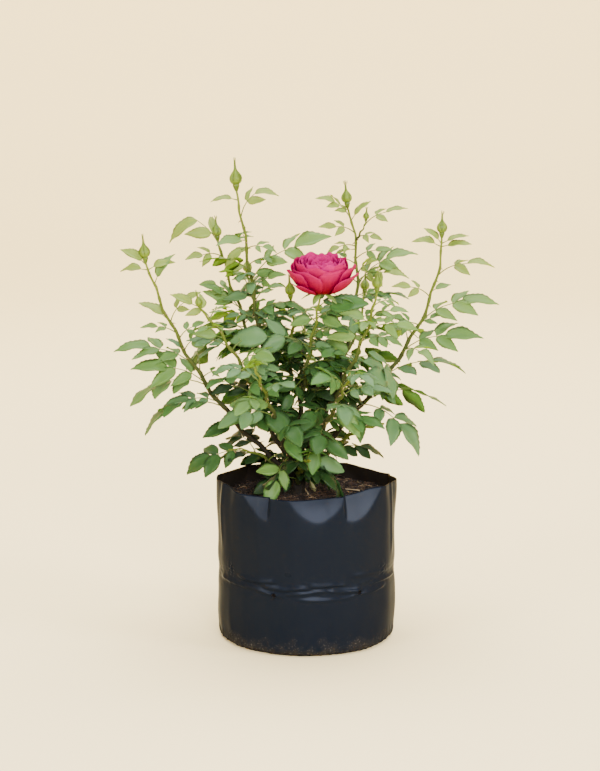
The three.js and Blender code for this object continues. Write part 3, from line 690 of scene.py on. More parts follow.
def film_radius(bag, turn, height):
    """How far the film stands from the bag's axis.

    A circle with long soft waves. Near the rim it is pulled into a lens with a corner at each side. The
    rim's flats are planes that lean in: where one cuts into the circle, the film follows it. The belt is
    drawn in a little, under ridges that stand out from it, and pinched in small crumpled spots. Pleats of a
    short wave gather at the lower corner. Waves, crumples and pleats are ripples, and bells and S curves
    tell where they show.
    """
    radius, top = bag.radius / MM, bag.height / MM
    x, y = radius * np.cos(turn), radius * np.sin(turn)
    degrees = np.degrees(turn)
    waves = 0.5 * ripple(3, 7, (90, 90, 120), x, y, height) + 0.07 * ripple(4, 6, (26, 26, 60), x, y, height)
    sides = np.exp(-((1 - np.abs(np.cos(turn))) * 28) ** 2)
    out = waves + smooth(top - 45, top, height) * (1.4 * sides - 2.2 * np.sin(turn) ** 2)
    for bearing, width, proud, floor in CREASES:
        gap = gap_to(bearing, degrees)
        out = out + proud * np.exp(-(gap / width) ** 2) * smooth(floor, floor + 25, height)
    cut = 0.0
    for bearing, drop, lean, first, last in RIM_FLATS:
        gap = gap_to(bearing, degrees)
        across = np.cos(np.radians(gap))
        leant = lean * (height - top - 2 + drop) / drop
        depth = (leant - (radius + out) * (1 - across)) / np.maximum(across, 0.5)
        start, end = first - bearing, last - bearing
        within = smooth(start - 1, start + 1, gap) * smooth(end + 1, end - 1, gap)
        cut = np.maximum(cut, np.logaddexp(0, depth / FLAT_EASE) * FLAT_EASE * within)
    out = out - cut
    for bearing, middle in PINCHES:
        spot = np.exp(-(gap_to(bearing, degrees) / 3.2) ** 2 - ((height - middle) / 9) ** 2)
        out = out + 0.8 * spot * ripple(bearing, 6, (6, 6, 8), x, y, height)
    belt = np.exp(-((height - 74 - 4 * np.cos(turn) ** 2) / 10) ** 2)
    crumple = 0.12 * belt * ripple(9, 8, (16, 16, 8), x, y, height)
    out = out - 1.3 * belt + fold_ridges(degrees, height) + crumple
    pleats = 0.45 * ripple(12, 8, (9, 9, 30), x, y, height) + 0.9 * ripple(13, 5, (22, 22, 40), x, y, height)
    return radius + out + pleats * np.exp(-(height / 9) ** 2) - 1.4 * smooth(40, 0, height)


def rim_height(turn):
    """The cut edge of the film, straight between the rim's places and eased over a few degrees."""
    bearings, heights = np.array(RIM, float).T
    shifts = np.linspace(-5, 5, 11)[:, None]
    return np.interp(np.degrees(turn)[None] + shifts, bearings, heights, period=360).mean(0)


def film_wall(bag, turn):
    """The grid of the film's wall: its columns are bearings, one a degree, and its rows are heights, close
    together about the belt and below the rim. Round each drain hole, squares of the grid are drawn in to
    circles, and a low lip, a bell across the hole's edge, stands out from the film.

    Returns the bearings, the heights, the lips' rise, and how far each place is from the nearest hole's
    middle, as a multiple of the hole's size."""
    radius, top, belt, drain = (size / MM for size in (bag.radius, bag.height, bag.belt, bag.drain))
    wall = np.concatenate([
        np.linspace(CORNER, belt - 11, 18)[1:], np.arange(belt - 10.2, belt + 25, FINE_ROW),
        np.linspace(belt + 26, top - 35, 18), np.linspace(top - 33.5, top, 24)])
    turns, heights = np.meshgrid(turn, wall)
    heights = heights + smooth(top - 61, top, heights) * (rim_height(turn)[None] - top)
    nearest = np.full(heights.shape, np.inf)
    rise = 0.0
    for bearing, above in DRAINS:
        row = np.argmin(np.abs(wall - belt - above))
        across = gap_to(bearing, np.arange(FILM_COLUMNS))[None] / HOLE_ACROSS
        over = (np.arange(len(wall)) - row)[:, None] / HOLE_OVER
        share = np.maximum(np.abs(across), np.abs(over))
        angle = np.arctan2(over, across)
        pull = 1 - smooth(1.0, HOLE_EASE, share)
        beside = ((turns - turn[bearing] + math.pi) % math.tau - math.pi) * radius
        tall = heights - wall[row]
        beside = beside + pull * (drain * share * np.cos(angle) - beside)
        tall = tall + pull * (drain * share * np.sin(angle) - tall)
        near = share < HOLE_EASE
        turns = np.where(near, turn[bearing] + beside / radius, turns)
        heights = np.where(near, wall[row] + tall, heights)
        lip = 0.7 * np.exp(-((np.hypot(beside, tall) - drain - 0.5) / 0.8) ** 2)
        rise = rise + np.where(near, lip, 0)
        nearest = np.minimum(nearest, share)
    return turns, heights, rise, nearest


def film_shape(bag):
    """The film as one sheet: from the middle of its base out, round its lower corner and up its wall to its
    rim. The cells inside the drain holes are left out, and a fan closes the middle of the base."""
    turn = circle(FILM_COLUMNS)
    turns, heights, rise, nearest = film_wall(bag, turn)
    walls = around(film_radius(bag, turns, heights) + rise, turns, heights)
    arc = np.radians(np.linspace(-90, 0, CORNER_ROWS))[:, None]
    foot = film_radius(bag, turn, np.full(FILM_COLUMNS, CORNER))[None]
    bend = foot - CORNER + CORNER * np.cos(arc)
    creased = 0.9 * ripple(21, 6, (9, 9), bend * np.cos(turn), bend * np.sin(turn)) * np.sin(arc * 2) ** 2
    corner = around(bend + creased, turn, CORNER + CORNER * np.sin(arc))
    base = around(np.linspace(0.02, 0.97, BASE_ROWS)[:, None] * (foot - CORNER), turn, 0.0)
    rows = np.concatenate([base, corner, walls])
    grid, ends = capped(len(rows), FILM_COLUMNS)
    below = np.full((BASE_ROWS + CORNER_ROWS, FILM_COLUMNS), np.inf)
    shares = np.concatenate([below, nearest]).ravel()
    kept = grid[(shares[grid] > HOLE_EDGE).any(1)]
    points = np.concatenate([rows.reshape(-1, 3), np.zeros((1, 3))])
    return points, [kept, ends[:FILM_COLUMNS]]


MIX_TOP, MIX_EDGE, MIX_FLOOR = 156.8, 153.0, 2.0  # heights of the mix at the stump, at the film and below
MIX_WALL = (125.0, 80.0, 40.0, 10.0)  # heights of the rings of points down its side, in mm
MIX_GAP = 5  # how far its side stays from the film, in mm
MIX_BASE = (70.4, 26.4)  # radii of the rings on its underside, in mm
STREWN_FROM, STREWN_TO = 14.0, 91.0  # how near to the bag's axis and how far out litter lies, in mm


def mix_height(bag, turn, out):
    """The height of the mix: highest round the stump and a little higher at the back and the right, with
    lumps of two sizes. It falls by the square of the distance from the bag's axis."""
    x, y = out * np.cos(turn), out * np.sin(turn)
    share = out / (bag.radius / MM)
    fall = share ** 2 * (4.5 - 1.4 * np.sin(turn) - 1.0 * np.cos(turn))
    return MIX_TOP - fall + 1.1 * ripple(31, 9, (9, 9), x, y) + 0.9 * ripple(32, 9, (22, 22), x, y)


def mix_shape(bag):
    """The bed of mix: rings out from the bag's axis to the film, then down and in over the bag's base. Below
    its edge it stays a few mm clear of the film."""
    turn = circle(MIX_COLUMNS)[None]
    edge = film_radius(bag, turn, np.full(turn.shape, MIX_EDGE)) - 1.0
    out = np.linspace(0.015, 1, 56)[:, None] * edge
    top = around(out, turn, mix_height(bag, turn, out))
    low = np.array(MIX_WALL)[:, None]
    wall = around(bag.radius / MM - MIX_GAP - 3 * (low < 20), turn, low)
    floor = around(np.array(MIX_BASE)[:, None], turn, MIX_FLOOR)
    rows = np.concatenate([top, wall, floor])
    points = np.concatenate([rows.reshape(-1, 3), [[0, 0, top[0, :, 2].mean()], [0, 0, MIX_FLOOR]]])
    return points, [some[:, ::-1] for some in capped(len(rows), MIX_COLUMNS)]


def strewn(bag, source, count):
    """Places strewn evenly over the mix, clear of the bag's axis and of the film."""
    out = np.sqrt(source.uniform(STREWN_FROM ** 2, STREWN_TO ** 2, count))
    turn = source.uniform(0, math.tau, count)
    return around(out, turn, mix_height(bag, turn, out))


def kept_inside(bag, points):
    """Draws points that would pierce the film in towards the bag's axis."""
    out = np.hypot(points[..., 0], points[..., 1])
    turn = np.arctan2(points[..., 1], points[..., 0])
    most = film_radius(bag, turn % math.tau, points[..., 2]) - 2.5
    return points * np.stack([np.minimum(1, most / out)] * 2 + [np.ones_like(out)], -1)


def fibres(bag, seed, count, lengths, radii):
    """Bent strands that lie on the mix: each is a parabola that rises out of the mix and dips back."""
    source = np.random.default_rng(seed)
    start = strewn(bag, source, count)
    bearing = source.uniform(0, 360, count)
    long = source.uniform(*lengths, count)[:, None]
    ahead, across = towards(bearing, 0), towards(bearing + 90, 0)
    share = np.linspace(0, 1, 5)
    sway = source.normal(0, 0.22, count)[:, None]
    lift = source.uniform(0.02, 0.22, count)[:, None]
    tilt = source.normal(0, 0.12, count)[:, None]
    arch = 4 * share * (1 - share)
    paths = (start[:, None] + ahead[:, None] * (share * long)[..., None]
             + across[:, None] * (sway * long * arch)[..., None])
    paths[..., 2] += lift * long * arch + tilt * long * share + 0.2
    taper = source.uniform(*radii, count)[:, None] * (1 - 0.6 * np.abs(share * 2 - 1))
    return tubes(kept_inside(bag, paths), taper, 3)


def crumbs(bag, seed, count, size, patch=None):
    """Lumps of mix: spheres on a coarse grid of latitudes, squashed and dented by seeded draws. They lie
    all over the mix, or heaped in a patch with a middle and a radius."""
    source = np.random.default_rng(seed)
    rings, sides = 4, 6
    lat = np.linspace(-1.25, 1.25, rings)[:, None]
    ball = around(np.cos(lat), circle(sides), np.sin(lat))
    ball = np.concatenate([ball.reshape(-1, 3), [[0, 0, -1], [0, 0, 1]]])
    shape = ball[None] * source.uniform(0.55, 1.2, (count, 1, 3)) * source.uniform(*size, (count, 1, 1))
    shape = shape * source.uniform(0.7, 1.15, (count, len(ball), 1))
    x, y = spun(shape[..., 0], shape[..., 1], source.uniform(0, math.tau, count)[:, None])
    place = strewn(bag, source, count)
    if patch:
        middle, radius, heap = patch
        place = source.normal(0, 0.5, (count, 3)) * radius
        place[:, 2] = heap * np.exp(-(place[:, 0] ** 2 + place[:, 1] ** 2) / radius ** 2)
        place = place + middle
    points = np.stack([x, y, shape[..., 2]], -1) + place[:, None]
    faces = [repeated(some, count, len(ball)) for some in capped(rings, sides)]
    return kept_inside(bag, points).reshape(-1, 3), faces


# Fibres on the mix: kind, seed of their draws, count, range of lengths and of radii in mm, and colour.
FIBRES = (
    ("dark", 52, 1500, (4, 15), (0.22, 0.55), "#20140d"),
    ("brown", 53, 900, (4, 16), (0.2, 0.5), "#432d1c"),
    ("pale", 54, 260, (3, 12), (0.18, 0.5), "#8f7757"),
)
# Lumps on the mix: seed of their draws, count, and range of radii in mm.
CRUMBS, FLECKS, MOSS_LUMPS = (51, 1500, (0.7, 2.6)), (55, 260, (0.35, 1.0)), (56, 240, (0.6, 1.7))
# What else lies on the mix: a patch of moss (middle, radius, height), sticks (their two ends), and a dry
# folded leaf (foot, heading, the direction across its blade, length).
MOSS = ((15.0, 80.0, 154.0), 6.0, 5.0)
STICKS = (
    ((26, 84), (31, 59)), ((57, 64), (64, 34)), ((-3, 20), (2, -20)), ((40, 20), (58, 6)),
    ((-52, 40), (-38, 60)), ((-30, -50), (-58, -38)), ((30, -58), (50, -46)), ((70, -20), (74, 10)),
)
DRY_LEAF = ((13.0, 8.0, 157.0), (-0.68, 0.25, 0.62), (0.35, 0.9, 0.1), 22.0)


def stick_shape(bag, start, end):
    """A straight round stick that lies on the highest mix below it and rises a little to its end."""
    along = np.linspace(0, 1, 5)
    x, y = (a + (b - a) * along for a, b in zip(start, end))
    lying = mix_height(bag, np.arctan2(y, x), np.hypot(x, y)).max() + 0.8 + 1.5 * along
    return tubes(np.stack([x, y, lying], -1)[None], np.full((1, 5), 0.7), 6)


def dry_leaf_shape():
    """One leaflet on the mix, folded and drawn out by age."""
    foot, ahead, side, length = DRY_LEAF
    points = leaflet_points({
        "root": np.array([foot]), "ahead": unit(np.array([ahead])), "side": unit(np.array([side])),
        "length": np.array([length]), "young": np.array([1.4]), "seed": np.array([3.0]),
        "end": np.array([1.0])})
    return points.reshape(-1, 3), leaflet_faces()


def stump_shape():
    """The stump: its flare and its swollen head are bells along its height. Ripples give it upright
    furrows, and knots where canes spring. Its rows close in a low dome on top."""
    rows, columns = 64, 56
    share = np.linspace(0, 1, rows)[:, None]
    turn = circle(columns)
    flare = (STUMP["flare"] - STUMP["waist"]) * np.exp(-(share * 8) ** 2)
    head = (STUMP["head"] - STUMP["waist"]) * np.exp(-((share - 0.82) * 3.4) ** 2)
    radius = STUMP["waist"] + flare + head
    height = STUMP["bottom"] + share * (STUMP["top"] - STUMP["bottom"])
    x, y = radius * np.cos(turn), radius * np.sin(turn)
    furrows = np.abs(ripple(41, 6, (7, 7, 60), x, y, height)) * -1.1
    knots = 0.8 * ripple(42, 7, (10, 10, 12), x, y, height)
    dome = np.sqrt(np.clip(1 - smooth(0.86, 1.03, share) ** 2, 0.004, 1))
    rings = around((radius + furrows + knots + 0.5) * dome, turn, height) + STUMP_AT
    ends = STUMP_AT + [[0, 0, STUMP["bottom"]], [0, 0, STUMP["top"]]]
    return np.concatenate([rings.reshape(-1, 3), ends]), capped(rows, columns)


NODE_SWELL = 0.45  # how proud the node below a leaf stands, in mm
NODE_SPAN = 0.010  # half the length of that node, as a share of the cane
THORNS_FROM, THORNS_SPAN = 0.06, 0.86  # where thorns start on a cane, and how much of it bears them
THORN_LENGTH, THORN_MORE = 2.4, 2.0  # the shortest thorn in mm, and what a draw adds
THORN_THICK = 1.05  # the radius in mm at the foot of a thorn 4 mm long, longer thorns being thicker
THORN_BEND = 0.55  # how far a thorn's tip is bent down, as a share of its length


def stem_shape(plan, low, high):
    """A stretch of a cane as a tube along its curve, swollen by a bell at each node that bears a leaf. Its
    age falls evenly from 1 at the cane's foot to 0 at its tip."""
    share = np.linspace(low, high, max(8, int((high - low) * 90)))
    nodes = leaf_shares(plan, leaf_heights(plan))
    swell = NODE_SWELL * np.exp(-((share[:, None] - nodes) / NODE_SPAN) ** 2).sum(1)
    radius = (cane_radius(share) + swell) * plan.thick
    points, faces = tubes(cane_place(plan, share)[None], radius[None], STEM_SIDES)
    ages = 1 - np.concatenate([np.repeat(share, STEM_SIDES), [low, high]])
    return points, faces, ages


def thorn_shapes(plan, gap):
    """Thorns down a cane: cones that leave it at seeded bearings and bend towards its foot by a parabola."""
    length = np.linalg.norm(np.diff(curve_point(plan, np.linspace(0, 1, 60)), axis=0), axis=1).sum()
    count = int(length / gap)
    place = np.arange(count)
    share = THORNS_FROM + THORNS_SPAN * (place + draw(plan.seed, place + 300)) / count
    bearing = 360 * draw(plan.seed, place + 400)
    long = THORN_LENGTH + THORN_MORE * draw(plan.seed, place + 500)
    ahead = curve_heading(plan, share)
    side = unit(np.cross(ahead, [0.0, 1.0, 0.0]))
    out = turned(side, ahead, bearing)
    along = np.linspace(0, 1, 5)[None, :, None]
    reach = cane_radius(share)[:, None, None] * 0.8 + along * long[:, None, None]
    paths = cane_place(plan, share)[:, None] + out[:, None] * reach
    paths = paths - ahead[:, None] * along ** 2 * long[:, None, None] * THORN_BEND
    radii = np.maximum(THORN_THICK * (1 - along[..., 0]) ** 1.3, 0.05) * (long / 4)[:, None]
    return tubes(paths, radii, 6)


# Tints of leaves from the lightest to the darkest: name, upper face, lower face. The darker tints stand
# both for older leaves and for painted shade low in the bush and in its core.
TINTS = (
    ("lime", "#6a7b33", "#77890c"),
    ("fresh", "#597438", "#66860f"),
    ("spring", "#4b6932", "#58771a"),
    # The upper face of this tint is greyer: a painted sheen of the sky.
    ("painted_sheen", "#45633c", "#4a6a24"),
    ("mid", "#385a2a", "#3e5e22"),
    ("deep", "#28441e", "#2b4b1b"),
    ("dark", "#182d12", "#1d3514"),
)


# Degrees of the rule's leaves: how widely the draws spread the bearings, also those of finer leaves. Then a
# leaf's rise and its blade's lean low on the cane, how much they change up to its tip, and their spread.
BEARING_SPREAD, FINER_SPREAD = 14, 80
RISE_LOW, RISE_GAIN, RISE_SPREAD = 8, 20, 22
LEAN_LOW, LEAN_LOSS, LEAN_SPREAD = 40, 26, 44
HANG_MOST = 16  # how far an end leaflet of the rule's leaves may hang, in degrees
FINER_REACH, FINER_MORE = 0.58, 0.2  # the least reach of a finer leaf as a share, and what a draw adds
REACH_POWER = 1.6  # the power of the height with which the leaves' reach falls to the tip's


def rule_leaves(plan, between):
    """The rule's leaves of a plan: evenly spaced up its stem at its bearings, with what the seeded draws
    change. Between two of them, low on the stem and near the stump, grow finer ones, a golden turn further
    and shorter.

    Returns their heights up the leafy part, their shares of the cane, their bearings, the scales of their
    reach and the places of their draws."""
    count = len(plan.turns)
    place = np.arange(count)
    own = np.array(plan.turns, float) + stray(plan.seed, place, BEARING_SPREAD)
    height = leaf_heights(plan)
    rows = [(height, own, np.ones(count), place)]
    for extra in range(between):
        low = place[height < FINER_BELOW[min(extra, 1)]]
        finer = low + FINER_DRAWS + 50 * extra
        turn = own[low] + GOLDEN + stray(plan.seed, finer, FINER_SPREAD)
        above = (extra + 1) / (between + 1) / max(count, 1)
        scale = FINER_REACH + FINER_MORE * draw(plan.seed, finer + 9)
        rows.append((height[low] + above, turn, scale, finer))
    height, bearing, scale, place = (np.concatenate(some) for some in zip(*rows))
    share = leaf_shares(plan, height)
    kept = (share < plan.rule_to) | (np.sin(np.radians(bearing)) > TO_BACK)
    kept &= (place < FINER_DRAWS) | (from_stump(curve_point(plan, share)) < FINER_WITHIN)
    return [some[kept] for some in (height, share, bearing, scale, place)]


def grown_leaves(plan, between):
    """All leaves of a plan. The higher the rule's leaves grow, the more they rise and the shorter they are.
    Their blades lean outwards from the bush, low ones the most. The held leaves follow, and their blades
    lean to the front. Tints grow darker towards the ground, partly as older leaves and partly as painted
    shade, and darker towards the stump as painted shade of the bush's core."""
    height, share, bearing, scale, place = rule_leaves(plan, between)
    low, high = plan.reach
    reach = (low + (high - low) * height ** REACH_POWER) * (1 - 0.12 * draw(plan.seed, place + 80)) * scale
    rise = RISE_LOW + RISE_GAIN * height + stray(plan.seed, place + 40, RISE_SPREAD)
    lean = LEAN_LOW - LEAN_LOSS * height + stray(plan.seed, place + 120, LEAN_SPREAD)
    root = cane_place(plan, share)
    outwards = unit((root - STUMP_AT) * [1, 1, 0])
    held = np.array([astuple(leaf) for leaf in plan.held], float).reshape(-1, 8)
    held_share, held_bearing, held_rise, held_reach, held_lean, pairs, hang, younger = held.T
    roots = np.concatenate([root, cane_place(plan, held_share)])
    to_front = np.array([[0.0, -1.0, 0.0]]).repeat(len(held), 0)
    seeds = np.concatenate([place, np.arange(len(held)) + HELD_DRAWS])
    # Leaves near the stump get darker tints as painted shade of the bush's core; lower leaves get darker
    # ones partly as older leaves and partly as painted shade.
    inner = np.clip(1 - from_stump(roots) / CORE_SHADE_TO, 0, 1)
    tint = (TINT_TOP - roots[:, 2]) / TINT_STEP + CORE_SHADE_TINTS * inner + stray(plan.seed, seeds + 160, 1.8)
    tint[len(root):] -= younger + 0.5
    tilt = np.radians(np.concatenate([lean, held_lean]))[:, None]
    young = np.concatenate([np.clip(height - 0.5, 0, 0.5) * 2, np.clip(0.4 + held_share, 0, 1)])
    return {
        "root": roots,
        "bearing": np.concatenate([bearing, held_bearing]),
        "rise": np.concatenate([rise, held_rise]),
        "reach": np.concatenate([reach, held_reach]),
        "pairs": np.concatenate([np.full(len(reach), 2), pairs]),
        "facing": np.concatenate([outwards, to_front]) * np.sin(tilt) + [0, 0, 1] * np.cos(tilt),
        "hang": np.concatenate([HANG_MOST * draw(plan.seed, place + 600), hang]),
        "tint": np.clip(np.round(tint), 0, len(TINTS) - 1),
        "young": young if plan.bud else 0.5 * young,
        "seed": plan.seed + seeds * 0.37,
    }


TERMINAL, LONE_LEAFLET = 0.46, 0.78  # an end leaflet's share of a leaf's reach, beside others and alone
PAIR_SIZES = (0.78, 0.64)  # side leaflets, as shares of the end one
PAIR_PLACES, LONE_PAIR = (0.82, 0.42), 0.62  # where two pairs grow along a stalk, and where one alone does
SIDE_SPREAD = 52  # degrees between the stalk and a side leaflet
SIDE_DROOP = 0.3  # how far a side leaflet may droop, as the tangent of an angle


def leaf_frames(leaves, terminal_most):
    """Each leaf's stalk, which bends down at its middle, and the leaflets that it bears.

    The stalk is a parabola through its root, its bend and its end. The end leaflet goes on from it and
    hangs a little, and pairs of side leaflets stand off it by a spread. Returns the stalks' paths and the
    leaflets."""
    root, reach, pairs = leaves["root"], leaves["reach"], leaves["pairs"]
    bearing, rise, seed = leaves["bearing"], leaves["rise"], leaves["seed"]
    terminal = np.minimum(terminal_most, np.where(pairs > 0, TERMINAL, LONE_LEAFLET) * reach)
    half = ((reach - terminal) / 2)[:, None]
    arch = np.where(pairs > 0, ARCH, 0)
    first, second = towards(bearing, rise + arch), towards(bearing, rise - arch)
    bend = root + first * half
    end = bend + second * half
    control = 2 * bend - (root + end) / 2
    leaflets = []

    def stalk(share):
        s = share[..., None]
        return (1 - s) ** 2 * root[:, None] + 2 * s * (1 - s) * control[:, None] + s ** 2 * end[:, None]

    def bear(chosen, places, ahead, side, length, is_end):
        seeds = seed + 0.11 * (len(leaflets) + 1)
        ends = np.full(len(seed), is_end)
        rows = (places, ahead, side, length, ends, leaves["tint"], leaves["young"], seeds)
        leaflets.append([some[chosen] for some in rows])

    last = towards(bearing + stray(seed, 41, 10), rise - arch - leaves["hang"])
    bear(pairs >= 0, end, last, unit(np.cross(leaves["facing"], last)), terminal, 1.0)
    for pair, size in enumerate(PAIR_SIZES):
        share = np.where(pairs > 1, PAIR_PLACES[pair], LONE_PAIR)
        ahead = unit(second * share[:, None] + first * (1 - share[:, None]))
        upright = np.cross(ahead, unit(np.cross(leaves["facing"], ahead)))
        place = stalk(share[:, None])[:, 0]
        for hand in (-1, 1):
            spread = SIDE_SPREAD + stray(seed, pair * 7 + hand, 20)
            outward = turned(ahead, upright, hand * spread)
            outward = unit(outward - upright * SIDE_DROOP * draw(seed, pair * 9 + hand + 50)[:, None])
            length = terminal * size * (0.88 + 0.24 * draw(seed, pair * 5 + hand + 30))
            across = unit(np.cross(upright, outward))
            bear(pairs > pair, place + outward * 0.8, outward, across, length, 0.0)
    paths = stalk(np.linspace(0, 1, 6)[None].repeat(len(reach), 0))
    keys = ("root", "ahead", "side", "length", "end", "tint", "young", "seed")
    return paths, {key: np.concatenate(some) for key, some in zip(keys, zip(*leaflets))}


STATIONS = 17  # rows of points along a leaflet, every second one the tip of a tooth
LEAFLET_COLUMNS = 5
BREADTH = 0.62  # of a leaflet, as a share of its length
RIB_DEPTH = 0.35  # how far the lower face's midrib stands below the upper one's, in mm


def leaflet_outline(young):
    """Half breadths along leaflets, as shares of their half breadth: an elliptic foot, the broadest place
    before the middle, and fine teeth. The tip is 1 less a power of the way to it, all to a power: old
    leaflets are rounded and young ones drawn out."""
    along = np.linspace(0, 1, STATIONS) ** 0.95
    young = young[:, None]
    broadest = 0.46 - 0.06 * young
    foot = np.clip(1 - ((broadest - along) / broadest) ** 2, 0, 1) ** 0.55
    beyond = np.clip((along - broadest) / (1 - broadest), 0, 1)
    tip = (1 - beyond ** (2.0 - 0.4 * young)) ** (0.92 + 0.16 * young)
    tooth = np.arange(STATIONS) % 2
    half = np.where(along < broadest, foot, tip) * np.where(tooth, 1.025, 0.965)
    half[:, 0], half[:, -1] = 0.06, 0.02
    return along, half, tooth


def leaflet_points(let):
    """Closed leaflets, all at once. The midrib is an arc that curls down. The blade folds up from it like a
    shallow V, bulges between the midrib and the margin, waves along the margin by a sine, and twists evenly
    towards its tip. The lower face runs straight from the margins to a midrib that stands a little below the
    upper one."""
    young = let["young"][:, None, None]
    along, half, tooth = leaflet_outline(let["young"])
    u = along[None, :, None]
    v = np.linspace(-1, 1, LEAFLET_COLUMNS)
    chance = [draw(let["seed"], 600 + k)[:, None, None] for k in range(5)]
    curl = np.radians(12 + 30 * chance[0]) * (0.7 + 0.5 * let["end"][:, None, None])
    fold = np.tan(np.radians(2 + 13 * chance[1] + 14 * young))
    narrow = BREADTH * (0.92 + 0.16 * chance[2]) * (1 - 0.24 * young)
    x = np.sin(curl * u) / curl + 0.018 * tooth[None, :, None] * np.abs(v)
    y = v * (half[:, :, None] * narrow / 2)
    dip = math.tan(math.radians(3)) * u + (1 - np.cos(curl * u)) / curl
    wave = 0.03 * np.sin(math.tau * (1.7 * u + chance[3]) + 2.0 * v) * np.abs(v) ** 2
    bulge = 0.020 * np.sin(math.pi * u) * (np.abs(v) == 0.5)
    z = -dip + np.abs(y) * fold + wave * np.sin(math.pi * u) + bulge
    y, z = spun(y, z + dip, (chance[4] - 0.5) * 0.7 * u)
    local = np.stack(np.broadcast_arrays(x, y, z - dip), -1) * let["length"][:, None, None, None]
    under = local[:, 1:-1, 2].copy()
    under[..., 2] -= RIB_DEPTH
    axes = np.stack([let["ahead"], let["side"], np.cross(let["ahead"], let["side"])], 1)
    upper = np.einsum("nabk,nkc->nabc", local, axes) + let["root"][:, None, None]
    lower = np.einsum("nak,nkc->nac", under, axes) + let["root"][:, None]
    return np.concatenate([upper.reshape(len(upper), -1, 3), lower], 1)


def leaflet_faces():
    """The faces of one leaflet: a grid of four strips above, two strips below that share its margins, and
    the small ends between them."""
    upper = grid_faces(STATIONS, LEAFLET_COLUMNS)[:, [0, 3, 2, 1]]
    left = np.arange(STATIONS) * LEAFLET_COLUMNS
    right, tail = left + 4, left[-1]
    rib = np.concatenate([[2], STATIONS * LEAFLET_COLUMNS + np.arange(STATIONS - 2), [tail + 2]])
    lower = [np.stack([a[:-1], b[:-1], b[1:], a[1:]], -1) for a, b in ((left, rib), (rib, right))]
    ends = np.array([[0, 1, 2], [2, 3, 4], [tail, tail + 2, tail + 1], [tail + 2, tail + 4, tail + 3]])
    return [upper, np.concatenate(lower), ends]


SEPALS, SEPAL_COLUMNS, LATHE_COLUMNS = 5, 5, 20
BUD_SEPAL, BLOOM_SEPAL, PETAL = 0.25, 0.3, 0.35  # how thick they are, in mm
# A bud from its stalk up, as radii and heights in mm: its hip, its bulb and its beak.
BUD_PROFILE = (
    (0, -1.0), (1.4, -0.7), (2.2, 1.2), (3.1, 3.4), (3.6, 5.0), (3.3, 6.6), (4.6, 7.8), (5.7, 9.4),
    (6.25, 11.6), (6.2, 13.6), (5.5, 15.6), (4.3, 17.4), (3.0, 19.0), (1.9, 20.4), (1.3, 21.8),
    (1.0, 23.5), (0.8, 26.0), (0.5, 29.0), (0.3, 32.0),
)


def stand_on(points, foot, heading):
    """Turns upright points so that their +Z runs along a heading, and sets them on a foot."""
    axis = unit(np.asarray(heading, float))
    side = unit(np.cross(axis, [0.0, 1.0, 0.0]))
    return points @ np.stack([side, np.cross(axis, side), axis]) + foot


def profile_at(profile, count):
    """The radii and heights of a profile at count places evenly along it, straight between its corners."""
    fine = np.linspace(0, len(profile) - 1, count)
    return [np.interp(fine, np.arange(len(profile)), values) for values in np.transpose(profile)]


def bud_shape(scale, seed):
    """A bud's green urn: a lathe of its profile, with five shallow lobes round its bulb, as a cosine."""
    radius, height = profile_at(np.array(BUD_PROFILE) * scale, 60)
    radius = np.convolve(np.pad(radius, 1, "edge"), np.ones(3) / 3, "valid")
    radius[0] = radius[-1] = 0.05
    turn = circle(LATHE_COLUMNS)
    lobes = 1 + 0.04 * np.cos(5 * turn + seed) * smooth(8 * scale, 13 * scale, height)[:, None]
    rows = around(radius[:, None] * lobes, turn, height[:, None])
    return rows.reshape(-1, 3), grid_faces(len(rows), LATHE_COLUMNS, closed=True)


def sepal_shape(scale, seed):
    """Five sepals: strips that hug the bulb edge to edge, close to a beak above it, and part at their tips.
    Their breadth is a power of the way to the beak, and a parabola bulges them across."""
    steps = np.linspace(0, 1, 22)
    height = (7.0 + 26.7 * steps ** 1.05) * scale
    radii, heights = np.transpose(BUD_PROFILE) * scale
    out = np.maximum(np.interp(height, heights, radii), 0.6 * scale) + 0.25
    width = (3.3 * np.clip(1 - steps / 0.58, 0, 1) ** 0.75 + 0.55 * (1 - steps) + 0.12) * scale
    span = np.clip(width / np.maximum(out, 0.8), 0.02, 0.8)
    v = np.linspace(-1, 1, SEPAL_COLUMNS)
    sepals = []
    for number in range(SEPALS):
        part = (0.5 + 3.5 * (draw(seed, 690) > 0.5)) * draw(seed, number + 700) ** 2 * smooth(0.72, 1, steps)
        twist = stray(seed, number + 720, 1.4) * steps
        turn = math.tau * number / SEPALS + seed + twist[:, None] + v * span[:, None]
        far = (out + part * scale)[:, None] + 0.25 * (1 - v ** 2)
        sepals.append(around(far, turn, (height - part * 0.5 * scale)[:, None]).reshape(-1, 3))
    faces = repeated(grid_faces(len(steps), SEPAL_COLUMNS), SEPALS, len(steps) * SEPAL_COLUMNS)
    return np.concatenate(sepals), faces


# The bloom's petals, from the guard petals in: count, widest reach, height of the rim, half breadth in
# radians, degrees that the profile turns through, first bearing. The guard petals stand one by one, the
# others in rings.
PETAL_RINGS = (
    (1, 37.0, 32.0, 0.52, 90, 208), (1, 36.5, 24.5, 0.68, 86, 330), (1, 34.5, 16.5, 0.60, 72, 223),
    (1, 32.5, 33.0, 0.52, 93, 340), (1, 35.0, 22.0, 0.50, 76, 84), (1, 35.0, 20.0, 0.48, 74, 134),
    (1, 36.0, 20.0, 0.46, 74, 38),
    (5, 30.0, 31.0, 0.80, 97, 232), (6, 27.5, 35.0, 0.66, 102, 262), (8, 24.0, 37.0, 0.50, 104, 248),
    (8, 19.5, 37.0, 0.52, 106, 270), (7, 14.5, 36.0, 0.62, 108, 250), (5, 9.5, 34.0, 0.84, 106, 290),
    (4, 5.0, 32.5, 1.1, 102, 220),
)
BLOOM_TILT = 8.5  # how far the bloom leans to the front, in degrees
